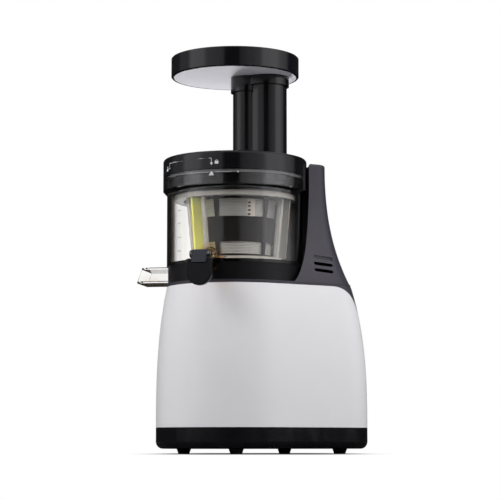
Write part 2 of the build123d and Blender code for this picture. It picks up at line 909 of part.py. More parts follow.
inlet_share = (inlet_height - inlet_radius - 2 - pan_top) / shell_height
inlet_face = body_back - shell_inset(inlet_share) * back_inset_ratio + inlet_stand
with BuildPart() as cord_inlet:
    with BuildSketch(back_plane(inlet_face + inlet_lip)):
        with Locations((inlet_x, inlet_height)):
            Circle(inlet_radius + 2)
            Circle(inlet_bore, mode=Mode.SUBTRACT)
    extrude(amount=inlet_lip)
    with BuildSketch(back_plane(inlet_face)):
        with Locations((inlet_x, inlet_height)):
            Circle(inlet_radius)
            Circle(inlet_bore, mode=Mode.SUBTRACT)
    extrude(amount=inlet_depth)
finish(cord_inlet.part, "cord_inlet")

# ---- bowl: clear body with a pulp duct and a juice spout -------------------------------------------
spout_run = spout_reach - bowl_inner
spout_fall = spout_root_height - spout_tip_height
spout_slope = math.degrees(math.atan2(spout_fall, spout_run))
spout_out_x, spout_out_y = along(spout_angle)
port_x, port_y = pulp_port_offset * pulp_x, pulp_port_offset * pulp_y
leg_angles = [pulp_angle + 90, pulp_angle - 90]
tip_plane = facing_plane(spout_angle, spout_reach, spout_tip_height)
gear_floor = floor_top + gear_lift
sun_idler_distance = (sun_teeth + idler_teeth) * bowl_gear_module / 2
idler_x = sun_idler_distance * along(idler_angle)[0]
idler_y = sun_idler_distance * along(idler_angle)[1]
ledge_level = lid_seat - lug_height - ledge_height


def spout_height(distance):
    """Height of the spout's middle line, at a plan distance from the drive axis."""
    return spout_tip_height + (spout_reach - distance) * spout_fall / spout_run


def spout_plane(distance):
    """Plane across the sloping spout, at a plan distance from the drive axis."""
    origin = (axis_x + distance * spout_out_x, axis_y + distance * spout_out_y, spout_height(distance))
    fall = math.radians(spout_slope)
    down_axis = (spout_out_x * math.cos(fall), spout_out_y * math.cos(fall), -math.sin(fall))
    return Plane(origin=origin, x_dir=(-spout_out_y, spout_out_x, 0), z_dir=down_axis)


def spout_length(distance):
    return (spout_reach - distance) / math.cos(math.radians(spout_slope)) + 2 * spout_radius


with BuildPart() as beyond_spout:
    with BuildSketch(tip_plane):
        Rectangle(6 * spout_radius, 8 * spout_radius)
    extrude(amount=4 * spout_radius)

apron_top = bowl_seat + apron_rise
with BuildPart() as drip_apron:
    with BuildSketch(facing_plane(spout_angle, bowl_radius / 2, 0)):
        Polygon(
            (0, apron_top - apron_drop),
            (apron_half_width, apron_top),
            (-apron_half_width, apron_top),
            align=None,
        )
    extrude(amount=bowl_radius)
    with BuildSketch(level(apron_top - apron_drop)):
        Circle(bowl_radius + pulp_wall)
        Circle(bowl_radius + weld_gap, mode=Mode.SUBTRACT)
    extrude(amount=apron_drop, mode=Mode.INTERSECT)

duct_middle = bowl_seat - pulp_height / 2 - duct_gap
duct_bottom = duct_middle - pulp_height / 2
with BuildPart() as juice_bowl:
    with BuildSketch(radial_plane(0)):
        with BuildLine():
            Polyline(
                (floor_hole, bowl_seat),
                (bowl_radius, bowl_seat),
                (bowl_radius, ring_bottom),
                (bowl_ring_radius, ring_bottom + bowl_ring_chamfer),
                (bowl_ring_radius, lid_seat),
                (ring_inner, lid_seat),
                (ring_inner, ring_bottom + bowl_ring_chamfer),
                (bowl_inner, ring_bottom + bowl_ring_chamfer - ring_slope),
                (bowl_inner, floor_top),
                (floor_hole, floor_top),
                close=True,
            )
        make_face()
    revolve(axis=Axis((axis_x, axis_y, 0), (0, 0, 1)))
    # ports for pulp in the floor and for juice in the wall
    with BuildSketch(level(bowl_seat)):
        with Locations((port_x, port_y)):
            Circle(pulp_port_radius)
    extrude(amount=bowl_floor, mode=Mode.SUBTRACT)
    with BuildSketch(facing_plane(spout_angle, bowl_inner - bowl_wall, spout_height(bowl_radius))):
        Circle(spout_bore)
        with Locations((0, floor_top + spout_bore - spout_height(bowl_radius))):
            Rectangle(2 * spout_bore, 2 * spout_bore, mode=Mode.INTERSECT)
    extrude(amount=3 * bowl_wall, mode=Mode.SUBTRACT)
    # boss for the idler pin and ledges for the lid's lugs
    with BuildSketch(level(floor_top)):
        with Locations((idler_x, idler_y)):
            Circle(idler_pin_radius + spigot_wall)
            Circle(idler_pin_radius, mode=Mode.SUBTRACT)
    extrude(amount=gear_lift - seat_clearance)
    with BuildSketch(level(ledge_level)):
        with PolarLocations(ring_inner - ledge_depth / 2 + lug_embed, lug_count, ledge_phase):
            Rectangle(ledge_depth + 2 * lug_embed, ledge_length)
    extrude(amount=ledge_height)
finish(juice_bowl.part, "juice_bowl")

with BuildPart() as bowl_spigot:
    with BuildSketch(level(bowl_seat - spigot_depth)):
        Circle(spigot_radius)
        Circle(spigot_radius - spigot_wall, mode=Mode.SUBTRACT)
    extrude(amount=spigot_depth)
    with BuildSketch(facing_plane(pulp_angle, 0, duct_middle)):
        Rectangle(pulp_width, 2 * pulp_height)
    extrude(amount=bowl_radius, mode=Mode.SUBTRACT)
finish(bowl_spigot.part, "bowl_spigot")

# pulp duct: a flat box under the floor with a slanted mouth, fed by a round port
duct_start = pulp_port_offset - pulp_port_radius - duct_end_wall - pulp_wall / 2
mouth_low, mouth_high = duct_bottom - 1, duct_bottom + pulp_height + 1
slant = pulp_slant / pulp_height
with BuildPart() as pulp_duct:
    with BuildSketch(facing_plane(pulp_angle, duct_start, duct_middle)):
        Rectangle(pulp_width, pulp_height)
    extrude(amount=pulp_reach - duct_start)
    with BuildSketch(level(duct_middle)):
        with Locations((port_x, port_y)):
            Circle(pulp_port_radius + pulp_wall)
    extrude(amount=bowl_seat - duct_middle)
    with BuildSketch(facing_plane(pulp_angle, duct_start + duct_end_wall, duct_middle)):
        Rectangle(pulp_width - 2 * pulp_wall, pulp_height - 2 * pulp_wall)
    extrude(amount=pulp_reach, mode=Mode.SUBTRACT)
    with BuildSketch(level(duct_middle)):
        with Locations((port_x, port_y)):
            Circle(pulp_port_radius)
    extrude(amount=bowl_seat - duct_middle, mode=Mode.SUBTRACT)
    with BuildSketch(level(duct_bottom)):
        with Locations((port_x, port_y)):
            Circle(plug_radius)
    extrude(amount=pulp_wall, mode=Mode.SUBTRACT)
    with BuildSketch(radial_plane(pulp_angle)):
        Polygon(
            (pulp_reach + slant, mouth_low),
            (pulp_reach + pulp_width, mouth_low),
            (pulp_reach + pulp_width, mouth_high),
            (pulp_reach - pulp_slant - slant, mouth_high),
            align=None,
        )
    extrude(amount=pulp_width, both=True, mode=Mode.SUBTRACT)
finish(pulp_duct.part, "pulp_duct")

# juice spout: a sloping tube with a round flange, a drip apron and ears that carry the cap
spout_start = bowl_inner - spout_radius
ear_start = cap_block_width / 2 + seat_clearance
ear_low = spout_tip_height + spout_collar_radius + lever_gap
with BuildPart() as juice_spout:
    with BuildSketch(spout_plane(spout_start)):
        Circle(spout_radius)
    extrude(amount=spout_length(spout_start))
    with BuildSketch(spout_plane(bowl_radius + spout_flange)):
        Circle(spout_radius + spout_flange)
    extrude(amount=pulp_wall)
    add(drip_apron.part)
    with BuildSketch(tip_plane):
        Circle(spout_collar_radius)
    extrude(amount=-spout_collar_depth)
    add(beyond_spout.part, mode=Mode.SUBTRACT)
    for side in (-1, 1):
        with BuildSketch(radial_plane(spout_angle)):
            Polygon(
                (spout_reach - spout_collar_depth, spout_tip_height + spout_flange),
                (spout_reach - ear_inset, spout_tip_height + spout_flange),
                (spout_reach - ear_inset, cap_pivot_height - 1),
                (cap_pivot_offset - ear_radius, cap_pivot_height + 1),
                align=None,
            )
            with Locations((cap_pivot_offset, cap_pivot_height)):
                Circle(ear_radius)
        extrude(amount=side * (ear_start + ear_thickness))
    with BuildSketch(radial_plane(spout_angle)):
        Polygon(
            (spout_reach - lever_room, ear_low),
            (spout_reach + lever_room, ear_low),
            (spout_reach + lever_room, cap_pivot_height + lever_room),
            (spout_reach - lever_room, cap_pivot_height + lever_room),
            align=None,
        )
    extrude(amount=ear_start, both=True, mode=Mode.SUBTRACT)
    with BuildSketch(radial_plane(spout_angle)):
        with Locations((cap_pivot_offset, cap_pivot_height)):
            Circle(cap_pin_radius)
    extrude(amount=cap_width, both=True, mode=Mode.SUBTRACT)
    with BuildSketch(spout_plane(spout_start)):
        Circle(spout_bore)
    extrude(amount=spout_length(spout_start), mode=Mode.SUBTRACT)
    with BuildSketch(level(duct_bottom)):
        Circle(bowl_radius + weld_gap)
    extrude(amount=ring_bottom - duct_bottom, mode=Mode.SUBTRACT)
finish(juice_spout.part, "juice_spout")

with BuildPart() as floor_seal:
    with BuildSketch(level(bowl_seat)):
        Circle(floor_hole)
        Circle(screw_spigot_radius + running_fit, mode=Mode.SUBTRACT)
    extrude(amount=bowl_floor)
finish(floor_seal.part, "floor_seal")

with BuildPart() as pulp_plug:
    with BuildSketch(level(duct_bottom)):
        with Locations((port_x, port_y)):
            Circle(plug_radius)
    extrude(amount=pulp_wall)
finish(pulp_plug.part, "pulp_plug")

with BuildPart() as idler_pin:
    with BuildSketch(level(floor_top)):
        with Locations((idler_x, idler_y)):
            Circle(idler_pin_radius)
    extrude(amount=strainer_gap - seat_clearance)
finish(idler_pin.part, "idler_pin")

with BuildPart() as cap_pin:
    with BuildSketch(radial_plane(spout_angle)):
        with Locations((cap_pivot_offset, cap_pivot_height)):
            Circle(cap_pin_radius)
    extrude(amount=cap_block_width / 2 + seat_clearance + ear_thickness, both=True)
finish(cap_pin.part, "cap_pin")

# ---- juice cap ------------------------------------------------------------------------------------
cap_back = spout_reach + cap_gap
cap_front = cap_back + cap_thickness
cap_top = cap_pivot_height - ear_radius - 1
cap_bottom = cap_top - cap_height
block_low = cap_top - cap_block_overlap
with BuildPart() as cap_lever:
    with BuildSketch(radial_plane(spout_angle)):
        Polygon(
            (cap_back, block_low),
            (cap_front + 0.6, block_low),
            (cap_front + 0.6, cap_pivot_height + cap_block_top),
            (cap_pivot_offset - ear_radius, cap_pivot_height + cap_block_top),
            (cap_pivot_offset - ear_radius, cap_pivot_height - ear_radius),
            (cap_back, cap_top),
            align=None,
        )
    extrude(amount=cap_block_width / 2, both=True)
    chamfer(cap_lever.edges().filter_by(GeomType.LINE).group_by(Axis.Z)[-1], 0.8)
    with BuildSketch(radial_plane(spout_angle)):
        with Locations((cap_pivot_offset, cap_pivot_height)):
            Circle(cap_pin_radius + running_fit)
    extrude(amount=cap_width, both=True, mode=Mode.SUBTRACT)
finish(cap_lever.part, "cap_lever")

with BuildPart() as juice_cap:
    with BuildSketch(facing_plane(spout_angle, cap_back, 0)):
        with Locations((0, cap_bottom + cap_width / 2)):
            Circle(cap_width / 2)
        with Locations((0, (cap_top + cap_bottom + cap_width / 2) / 2)):
            Rectangle(cap_width, cap_top - cap_bottom - cap_width / 2)
        with Locations((0, block_low + cap_height / 2)):
            Rectangle(cap_block_width, cap_height, mode=Mode.SUBTRACT)
    extrude(amount=cap_thickness)
    outward = Axis((0, 0, 0), (spout_out_x, spout_out_y, 0))
    chamfer(juice_cap.faces().sort_by(outward)[-1].edges(), cap_chamfer)
finish(juice_cap.part, "juice_cap")

with BuildPart() as cap_stopper:
    with BuildSketch(facing_plane(spout_angle, spout_reach + seat_clearance, spout_tip_height)):
        Circle(spout_radius + 1)
    extrude(amount=cap_gap - seat_clearance)
    with BuildSketch(facing_plane(spout_angle, spout_reach - stopper_reach, spout_tip_height)):
        Circle(stopper_radius)
    extrude(amount=stopper_reach + seat_clearance)
finish(cap_stopper.part, "cap_stopper")

# ---- strainer ----------------------------------------------------------------------------------------
def strainer_radius(height):
    share = (height - strainer_base) / (strainer_top - strainer_base)
    return strainer_bottom_radius + share * (strainer_top_radius - strainer_bottom_radius)


def cone_band(low, high, outer, inner):
    """Conical shell that follows the strainer, between two heights and two insets."""
    with BuildPart() as band:
        with BuildSketch(radial_plane(0)):
            Polygon(
                (strainer_radius(low) - outer, low),
                (strainer_radius(high) - outer, high),
                (strainer_radius(high) - inner, high),
                (strainer_radius(low) - inner, low),
                align=None,
            )
        revolve(axis=Axis((axis_x, axis_y, 0), (0, 0, 1)))
    return band.part


window_rows = [(lower_window_sill, lower_window_height), (upper_window_sill, upper_window_height)]
window_start = 180 / window_count + window_phase
with BuildPart() as strainer_frame:
    add(cone_band(strainer_base, strainer_top, 0, strainer_wall))
    with BuildSketch(level(strainer_top - rim_height)):
        Circle(strainer_top_radius + rim_width)
        Circle(strainer_top_radius - strainer_wall, mode=Mode.SUBTRACT)
    extrude(amount=rim_height)
    with BuildSketch(level(strainer_base)):
        Circle(strainer_bottom_radius - 0.5)
        Circle(screw_hole_radius, mode=Mode.SUBTRACT)
        with Locations((port_x, port_y)):
            Circle(pulp_port_radius, mode=Mode.SUBTRACT)
    extrude(amount=strainer_floor)
    with BuildSketch(level(floor_top)):
        with Locations((port_x, port_y)):
            Circle(pulp_port_radius + pulp_wall)
            Circle(pulp_port_radius, mode=Mode.SUBTRACT)
        for angle in leg_angles:
            with Locations((pulp_port_offset * along(angle)[0], pulp_port_offset * along(angle)[1])):
                Circle(strainer_leg_radius)
    extrude(amount=strainer_gap)
    for sill, height in window_rows:
        for row in range(window_count):
            angle = window_start + row * 360 / window_count
            middle = strainer_base + sill + height / 2
            half = strainer_radius(middle) * math.sin(math.pi / window_count) - window_bar / 2
            with BuildSketch(facing_plane(angle, strainer_bottom_radius / 2, middle)):
                Rectangle(2 * half, height)
            extrude(amount=strainer_bottom_radius, mode=Mode.SUBTRACT)
finish(strainer_frame.part, "strainer_frame")

with BuildPart() as strainer_mesh:
    for sill, height in window_rows:
        low = strainer_base + sill - mesh_lap
        high = strainer_base + sill + height + mesh_lap
        add(cone_band(max(low, strainer_base + strainer_floor), high, strainer_wall, strainer_wall + mesh_thickness))
finish(strainer_mesh.part, "strainer_mesh")

# ---- squeezing screw -------------------------------------------------------------------------------------
screw_low = strainer_base + strainer_floor + screw_gap
screw_high = strainer_top - rim_height
screw_inset_radius = strainer_wall + mesh_thickness + screw_gap
with BuildPart() as screw_envelope:
    with BuildSketch(radial_plane(0)):
        Polygon(
            (0, screw_low),
            (strainer_radius(screw_low) - screw_inset_radius, screw_low),
            (strainer_radius(screw_high) - screw_inset_radius, screw_high),
            (0, screw_high),
            align=None,
        )
    revolve(axis=Axis((axis_x, axis_y, 0), (0, 0, 1)))

screw_turn = 360 * (screw_high - screw_low) / screw_pitch
with BuildSketch(level(screw_low)) as flight_section:
    with BuildLine():
        reach = strainer_top_radius
        lead_x, lead_y = along(screw_lobe_angle / 2)
        rise = Line((0, 0), (reach * lead_x, -reach * lead_y))
        tip = ThreePointArc(rise @ 1, (reach, 0), (reach * lead_x, reach * lead_y))
        Line(tip @ 1, (0, 0))
    make_face()
flight = Solid.extrude_linear_with_rotation(
    flight_section.sketch.faces()[0],
    (axis_x, axis_y, screw_low),
    (0, 0, screw_high - screw_low),
    screw_turn,
)
with BuildPart() as squeezing_screw:
    add(flight)
    add(screw_envelope.part, mode=Mode.INTERSECT)
    with BuildSketch(radial_plane(0)):
        Polygon(
            (0, bowl_seat),
            (screw_spigot_radius, bowl_seat),
            (screw_spigot_radius, gear_floor + bowl_gear_height),
            (screw_hole_radius - moving_clearance, gear_floor + bowl_gear_height),
            (screw_hole_radius - moving_clearance, screw_low - 0.5),
            (screw_core_bottom, screw_low),
            (screw_core_top, screw_high),
            (screw_pin_radius, screw_high + 2),
            (screw_pin_radius, screw_high + 2 + screw_pin_length),
            (0, screw_high + 2 + screw_pin_length),
            align=None,
        )
    revolve(axis=Axis((axis_x, axis_y, 0), (0, 0, 1)))
    extrude(
        gear_outline(level(gear_floor), sun_teeth, bowl_gear_module, idler_angle),
        amount=bowl_gear_height,
    )
    with BuildSketch(level(bowl_seat)):
        Circle(socket_radius)
    extrude(amount=shaft_reach + 2, mode=Mode.SUBTRACT)
finish(squeezing_screw.part, "squeezing_screw")

with BuildPart() as screw_socket:
    with BuildSketch(level(bowl_seat)):
        Circle(socket_radius)
        RegularPolygon(shaft_hex / 2 + hex_clearance, 6, major_radius=False, mode=Mode.SUBTRACT)
    extrude(amount=shaft_reach + 2)
finish(screw_socket.part, "screw_socket")

with BuildPart() as brush_idler:
    idler_plane = Plane((axis_x + idler_x, axis_y + idler_y, gear_floor))
    idler_phase = idler_angle + 180 + 180 / idler_teeth
    idler_bore = idler_pin_radius + running_fit
    extrude(
        gear_outline(idler_plane, idler_teeth, bowl_gear_module, idler_phase, idler_bore),
        amount=bowl_gear_height,
    )
finish(brush_idler.part, "brush_idler")

# ---- spinning brush ----------------------------------------------------------------------------------------
ring_teeth = sun_teeth + 2 * idler_teeth
ring_pitch = ring_teeth * bowl_gear_module / 2
brush_inner = ring_pitch + 1.15 * bowl_gear_module
brush_outer = brush_inner + brush_rim
brush_top = strainer_top - brush_top_drop
brush_ring_low = brush_top - brush_ring_height
brush_angles = [brush_phase + unit * 360 / brush_unit_count for unit in range(brush_unit_count)]


def rib_radius(height):
    share = (height - gear_floor) / (brush_top - gear_floor)
    return brush_inner + share * (brush_top_radius - brush_top_width - brush_inner)


with BuildPart() as brush_frame:
    with BuildSketch(level(gear_floor)):
        Circle(brush_outer)
        Circle(brush_inner, mode=Mode.SUBTRACT)
    extrude(amount=bowl_gear_height)
    half_tooth = 0.2 * math.pi * bowl_gear_module
    tooth_lean = math.tan(math.radians(20)) * bowl_gear_module
    with BuildSketch(level(gear_floor)):
        with PolarLocations(0, ring_teeth, idler_angle):
            Polygon(
                (ring_pitch - 0.9 * bowl_gear_module, -half_tooth + 0.9 * tooth_lean),
                (brush_inner + 1, -half_tooth - 1.15 * tooth_lean),
                (brush_inner + 1, half_tooth + 1.15 * tooth_lean),
                (ring_pitch - 0.9 * bowl_gear_module, half_tooth - 0.9 * tooth_lean),
                align=None,
            )
    extrude(amount=bowl_gear_height)
    with BuildSketch(level(brush_ring_low)):
        Circle(brush_top_radius)
        Circle(brush_top_radius - brush_top_width, mode=Mode.SUBTRACT)
    extrude(amount=brush_ring_height)
    for angle in brush_angles:
        for side in (-1, 1):
            with BuildSketch(radial_plane(angle + side * brush_rib_spread)):
                Polygon(
                    (rib_radius(gear_floor), gear_floor + 0.5),
                    (rib_radius(gear_floor) + brush_rib_depth, gear_floor + 0.5),
                    (rib_radius(brush_top) + brush_rib_depth, brush_ring_low + 1),
                    (rib_radius(brush_top), brush_ring_low + 1),
                    align=None,
                )
            extrude(amount=brush_rib_width / 2, both=True)
finish(brush_frame.part, "brush_frame")

blade_low = gear_floor + bowl_gear_height
with BuildPart() as brush_blades:
    for angle in brush_angles:
        inner_low = strainer_radius(blade_low) + blade_gap
        inner_high = strainer_radius(brush_ring_low) + blade_gap
        blade_depth = brush_top_radius - blade_ring_gap - inner_high
        with BuildSketch(radial_plane(angle)):
            Polygon(
                (inner_low, blade_low),
                (inner_low + blade_depth, blade_low),
                (inner_high + blade_depth, brush_ring_low),
                (inner_high, brush_ring_low),
                align=None,
            )
        extrude(amount=blade_thickness / 2, both=True)
finish(brush_blades.part, "brush_blades")

# ---- lid with the feed chute ------------------------------------------------------------------------------
lobes = [
    (small_lobe_offset, small_lobe_radius),
    (large_lobe_offset, large_lobe_radius),
]
chute_top = tray_bottom + underside_thickness
plate_low = lid_top - lid_plate
skirt_low = lid_seat - lid_skirt_depth
pin_top = screw_high + 2 + screw_pin_length
bush_low = pin_top - screw_pin_length + 1
seal_level = lid_seat - seal_height


def chute_outline(height, grow, cut=None):
    """Two-lobed outline of the feed chute, grown or shrunk evenly, with an optional inner cut."""
    with BuildSketch(level(height)) as outline:
        for mode, extra in ((Mode.ADD, grow), (Mode.SUBTRACT, cut)):
            if extra is None:
                continue
            for offset_out, radius in lobes:
                place = (offset_out * along(chute_angle)[0], offset_out * along(chute_angle)[1])
                with Locations(place):
                    Circle(radius + extra, mode=mode)
    return outline.sketch


with BuildPart() as lid:
    with BuildSketch(level(lid_seat)):
        Circle(bowl_ring_radius)
    extrude(amount=lid_height)
    fillet(lid.faces().sort_by(Axis.Z)[-1].edges(), lid_round)
    with BuildSketch(level(lid_seat)):
        Circle(bowl_ring_radius - wall)
    extrude(amount=lid_height - lid_plate, mode=Mode.SUBTRACT)
    with BuildSketch(level(skirt_low)):
        Circle(skirt_radius)
        Circle(skirt_radius - wall, mode=Mode.SUBTRACT)
    extrude(amount=lid_top - lid_plate - skirt_low)
    with BuildSketch(level(lid_seat + 1)):
        with PolarLocations((skirt_radius + bowl_ring_radius - wall) / 2, lid_rib_count):
            Rectangle(bowl_ring_radius - skirt_radius, lid_rib)
    extrude(amount=lid_height - lid_plate)
    with BuildSketch(level(skirt_low)):
        with PolarLocations(skirt_radius + lug_depth / 2 - lug_embed, lug_count, ledge_phase):
            Rectangle(lug_depth + 2 * lug_embed, ledge_length - lug_play)
    extrude(amount=lug_height)
    extrude(chute_outline(plate_low, -chute_wall), amount=lid_plate, mode=Mode.SUBTRACT)
    with BuildSketch(level(plate_low)):
        Circle(boss_radius)
    extrude(amount=lid_plate)
finish(lid.part, "lid")

# funnel from the chute to the mouth of the strainer, with a boss for the screw's top pin
rib_low = skirt_low + rib_lift
funnel_at_rib = funnel_mouth + rib_lift / (plate_low - skirt_low) * (funnel_top - funnel_mouth)
with BuildPart() as lid_funnel:
    with BuildSketch(radial_plane(0)):
        Polygon(
            (funnel_mouth, skirt_low),
            (funnel_mouth + chute_wall, skirt_low),
            (funnel_top + chute_wall, plate_low),
            (funnel_top, plate_low),
            align=None,
        )
    revolve(axis=Axis((axis_x, axis_y, 0), (0, 0, 1)))
    with BuildSketch(level(bush_low)):
        Circle(boss_radius)
    extrude(amount=plate_low - bush_low)
    for turn in (90, 180, 270):
        with BuildSketch(radial_plane(chute_angle + turn)):
            Polygon(
                (boss_radius - 1, rib_low),
                (funnel_at_rib + chute_wall / 2, rib_low),
                (funnel_top + chute_wall / 2, plate_low),
                (boss_radius - 1, plate_low),
                align=None,
            )
        extrude(amount=lid_rib / 2, both=True)
    with BuildSketch(level(bush_low)):
        Circle(bush_outer)
    extrude(amount=pin_top - bush_low + 1, mode=Mode.SUBTRACT)
finish(lid_funnel.part, "lid_funnel")

with BuildPart() as feed_chute:
    extrude(chute_outline(lid_top, 0, -chute_wall), amount=chute_top - lid_top)
finish(feed_chute.part, "feed_chute")

with BuildPart() as lid_bush:
    with BuildSketch(level(bush_low)):
        Circle(bush_outer)
        Circle(screw_pin_radius + running_fit, mode=Mode.SUBTRACT)
    extrude(amount=pin_top - bush_low + 1)
finish(lid_bush.part, "lid_bush")

with BuildPart() as lid_seal:
    with BuildSketch(level(seal_level)):
        Circle(skirt_radius + seal_proud)
        Circle(skirt_radius, mode=Mode.SUBTRACT)
    extrude(amount=seal_height)
    chamfer(lid_seal.faces().sort_by(Axis.Z)[-1].edges().sort_by(SortBy.RADIUS)[-1], 0.5)
finish(lid_seal.part, "lid_seal")

# ---- feed tray ----------------------------------------------------------------------------------------------
collar_grow = tray_clearance + collar_wall
floor_level = tray_bottom + underside_thickness
with BuildPart() as feed_tray:
    with BuildSketch(level(tray_bottom)):
        Circle(tray_radius)
    extrude(amount=tray_height)
    chamfer(feed_tray.faces().sort_by(Axis.Z)[-1].edges(), 0.8)
    chamfer(feed_tray.faces().sort_by(Axis.Z)[0].edges(), 0.8)
    with BuildSketch(level(floor_level + tray_floor)):
        Circle(tray_radius - tray_wall)
    extrude(amount=tray_height, taper=-2, mode=Mode.SUBTRACT)
    with BuildSketch(level(tray_bottom)):
        Circle(tray_radius - tray_wall)
    extrude(amount=underside_thickness, mode=Mode.SUBTRACT)
    extrude(chute_outline(floor_level, -chute_wall), amount=tray_floor, mode=Mode.SUBTRACT)
finish(feed_tray.part, "feed_tray")

# the collar that grips the chute reaches lower round the small lobe
collar_low = tray_bottom - collar_depth
small_collar_low = collar_low - small_collar_extra
with BuildPart() as tray_collar:
    extrude(chute_outline(collar_low, collar_grow), amount=floor_level - collar_low)
    with BuildSketch(level(small_collar_low)):
        with Locations((small_lobe_offset * along(chute_angle)[0], small_lobe_offset * along(chute_angle)[1])):
            Circle(small_lobe_radius + collar_grow)
    extrude(amount=small_collar_extra + 1)
    extrude(
        chute_outline(small_collar_low, tray_clearance),
        amount=floor_level - small_collar_low,
        mode=Mode.SUBTRACT,
    )
finish(tray_collar.part, "tray_collar")

with BuildPart() as tray_underside:
    with BuildSketch(level(tray_bottom)):
        Circle(tray_radius - tray_wall)
    extrude(amount=underside_thickness)
    extrude(chute_outline(tray_bottom, collar_grow), amount=underside_thickness, mode=Mode.SUBTRACT)
finish(tray_underside.part, "tray_underside")
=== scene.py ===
import bmesh
import bpy
import json
import math
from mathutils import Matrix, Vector


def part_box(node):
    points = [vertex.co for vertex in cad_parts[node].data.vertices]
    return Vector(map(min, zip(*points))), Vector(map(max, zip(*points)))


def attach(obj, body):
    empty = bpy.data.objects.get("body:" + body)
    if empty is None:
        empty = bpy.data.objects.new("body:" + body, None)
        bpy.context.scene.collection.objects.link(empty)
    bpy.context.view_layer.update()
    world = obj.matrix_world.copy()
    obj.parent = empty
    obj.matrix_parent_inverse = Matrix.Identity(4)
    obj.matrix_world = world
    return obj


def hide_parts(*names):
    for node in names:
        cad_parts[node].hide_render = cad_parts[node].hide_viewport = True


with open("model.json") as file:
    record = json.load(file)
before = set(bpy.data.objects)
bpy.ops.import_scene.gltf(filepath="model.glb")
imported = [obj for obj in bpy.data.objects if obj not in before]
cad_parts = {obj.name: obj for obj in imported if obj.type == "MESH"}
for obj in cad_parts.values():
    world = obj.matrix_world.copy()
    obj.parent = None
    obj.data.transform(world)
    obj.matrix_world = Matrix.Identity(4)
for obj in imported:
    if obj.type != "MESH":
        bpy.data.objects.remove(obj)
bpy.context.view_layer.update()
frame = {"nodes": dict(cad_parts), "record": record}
cadNodes = frame["nodes"]

# places that everything else is worked out from, all read off the frame
lidLow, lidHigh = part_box("lid")
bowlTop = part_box("juice_bowl")[1].z
trayLow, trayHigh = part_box("feed_tray")
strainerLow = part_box("strainer_mesh")[0]
driveAxis = Vector(((trayLow.x + trayHigh.x) / 2, (trayLow.y + trayHigh.y) / 2, 0))
lidRadius = (lidHigh.x - lidLow.x) / 2
print("frame loaded:", len(cadNodes), "nodes")


# tools that the rest is built with
def addNode(tree, kind, values=None, **settings):
    node = tree.nodes.new(kind)
    for key, value in settings.items():
        setattr(node, key, value)
    for key, value in (values or {}).items():
        node.inputs[key].default_value = value
    return node


def feed(tree, target, source):
    # a socket is linked, anything else is set as the value
    if isinstance(source, bpy.types.NodeSocket):
        tree.links.new(source, target)
    else:
        target.default_value = source


def calc(tree, operation, first, second=0.0, clamp=False):
    node = addNode(tree, "ShaderNodeMath", operation=operation, use_clamp=clamp)
    feed(tree, node.inputs[0], first)
    feed(tree, node.inputs[1], second)
    return node.outputs[0]


def vectorCalc(tree, operation, first, second=(0, 0, 0)):
    node = addNode(tree, "ShaderNodeVectorMath", operation=operation)
    feed(tree, node.inputs[0], first)
    feed(tree, node.inputs[1], second)
    return node


def blendColor(tree, share, first, second):
    node = addNode(tree, "ShaderNodeMix", data_type="RGBA")
    feed(tree, node.inputs["Factor"], share)
    feed(tree, node.inputs["A"], first)
    feed(tree, node.inputs["B"], second)
    return node.outputs["Result"]


def blendValue(tree, share, first, second):
    node = addNode(tree, "ShaderNodeMix", data_type="FLOAT")
    feed(tree, node.inputs["Factor"], share)
    feed(tree, node.inputs["A"], first)
    feed(tree, node.inputs["B"], second)
    return node.outputs["Result"]


def remap(tree, value, start, end, low=0.0, high=1.0, kind="LINEAR"):
    limits = {"From Min": start, "From Max": end, "To Min": low, "To Max": high}
    node = addNode(tree, "ShaderNodeMapRange", limits, interpolation_type=kind)
    tree.links.new(value, node.inputs["Value"])
    return node.outputs["Result"]


def dot(tree, first, second):
    return vectorCalc(tree, "DOT_PRODUCT", first, second).outputs["Value"]


def rgb(color, shade=1.0):
    return (color[0] * shade, color[1] * shade, color[2] * shade, 1.0)


def around(angle, radius, height):
    turn = math.radians(angle)
    return driveAxis + Vector((radius * math.cos(turn), radius * math.sin(turn), height))


def newGroup(name, inputs, outputs):
    group = bpy.data.node_groups.new(name, "ShaderNodeTree")
    for label, kind, value in inputs:
        socket = group.interface.new_socket(label, in_out="INPUT", socket_type=kind)
        if value is not None:
            socket.default_value = value
    for label, kind in outputs:
        group.interface.new_socket(label, in_out="OUTPUT", socket_type=kind)
    return group, group.nodes.new("NodeGroupInput"), group.nodes.new("NodeGroupOutput")


def useGroup(tree, group, values=None):
    node = tree.nodes.new("ShaderNodeGroup")
    node.node_tree = group
    for key, value in (values or {}).items():
        feed(tree, node.inputs[key], value)
    return node


# effects that several finishes share
def makeSkinGroup():
    # fine mould texture, and broad patches where the skin is a touch lighter or duller
    group, given, result = newGroup(
        "mouldedSkin",
        [
            ("Vector", "NodeSocketVector", None),
            ("Grain Scale", "NodeSocketFloat", 900.0),
            ("Patch Scale", "NodeSocketFloat", 18.0),
        ],
        [("Height", "NodeSocketFloat"), ("Patch", "NodeSocketFloat")],
    )
    grain = addNode(group, "ShaderNodeTexNoise", {"Detail": 3.0, "Roughness": 0.6})
    patch = addNode(group, "ShaderNodeTexNoise", {"Detail": 4.0, "Roughness": 0.55, "Distortion": 0.6})
    for texture, scale in ((grain, "Grain Scale"), (patch, "Patch Scale")):
        group.links.new(given.outputs["Vector"], texture.inputs["Vector"])
        group.links.new(given.outputs[scale], texture.inputs["Scale"])
    group.links.new(grain.outputs["Fac"], result.inputs["Height"])
    group.links.new(remap(group, patch.outputs["Fac"], 0.35, 0.65), result.inputs["Patch"])
    return group


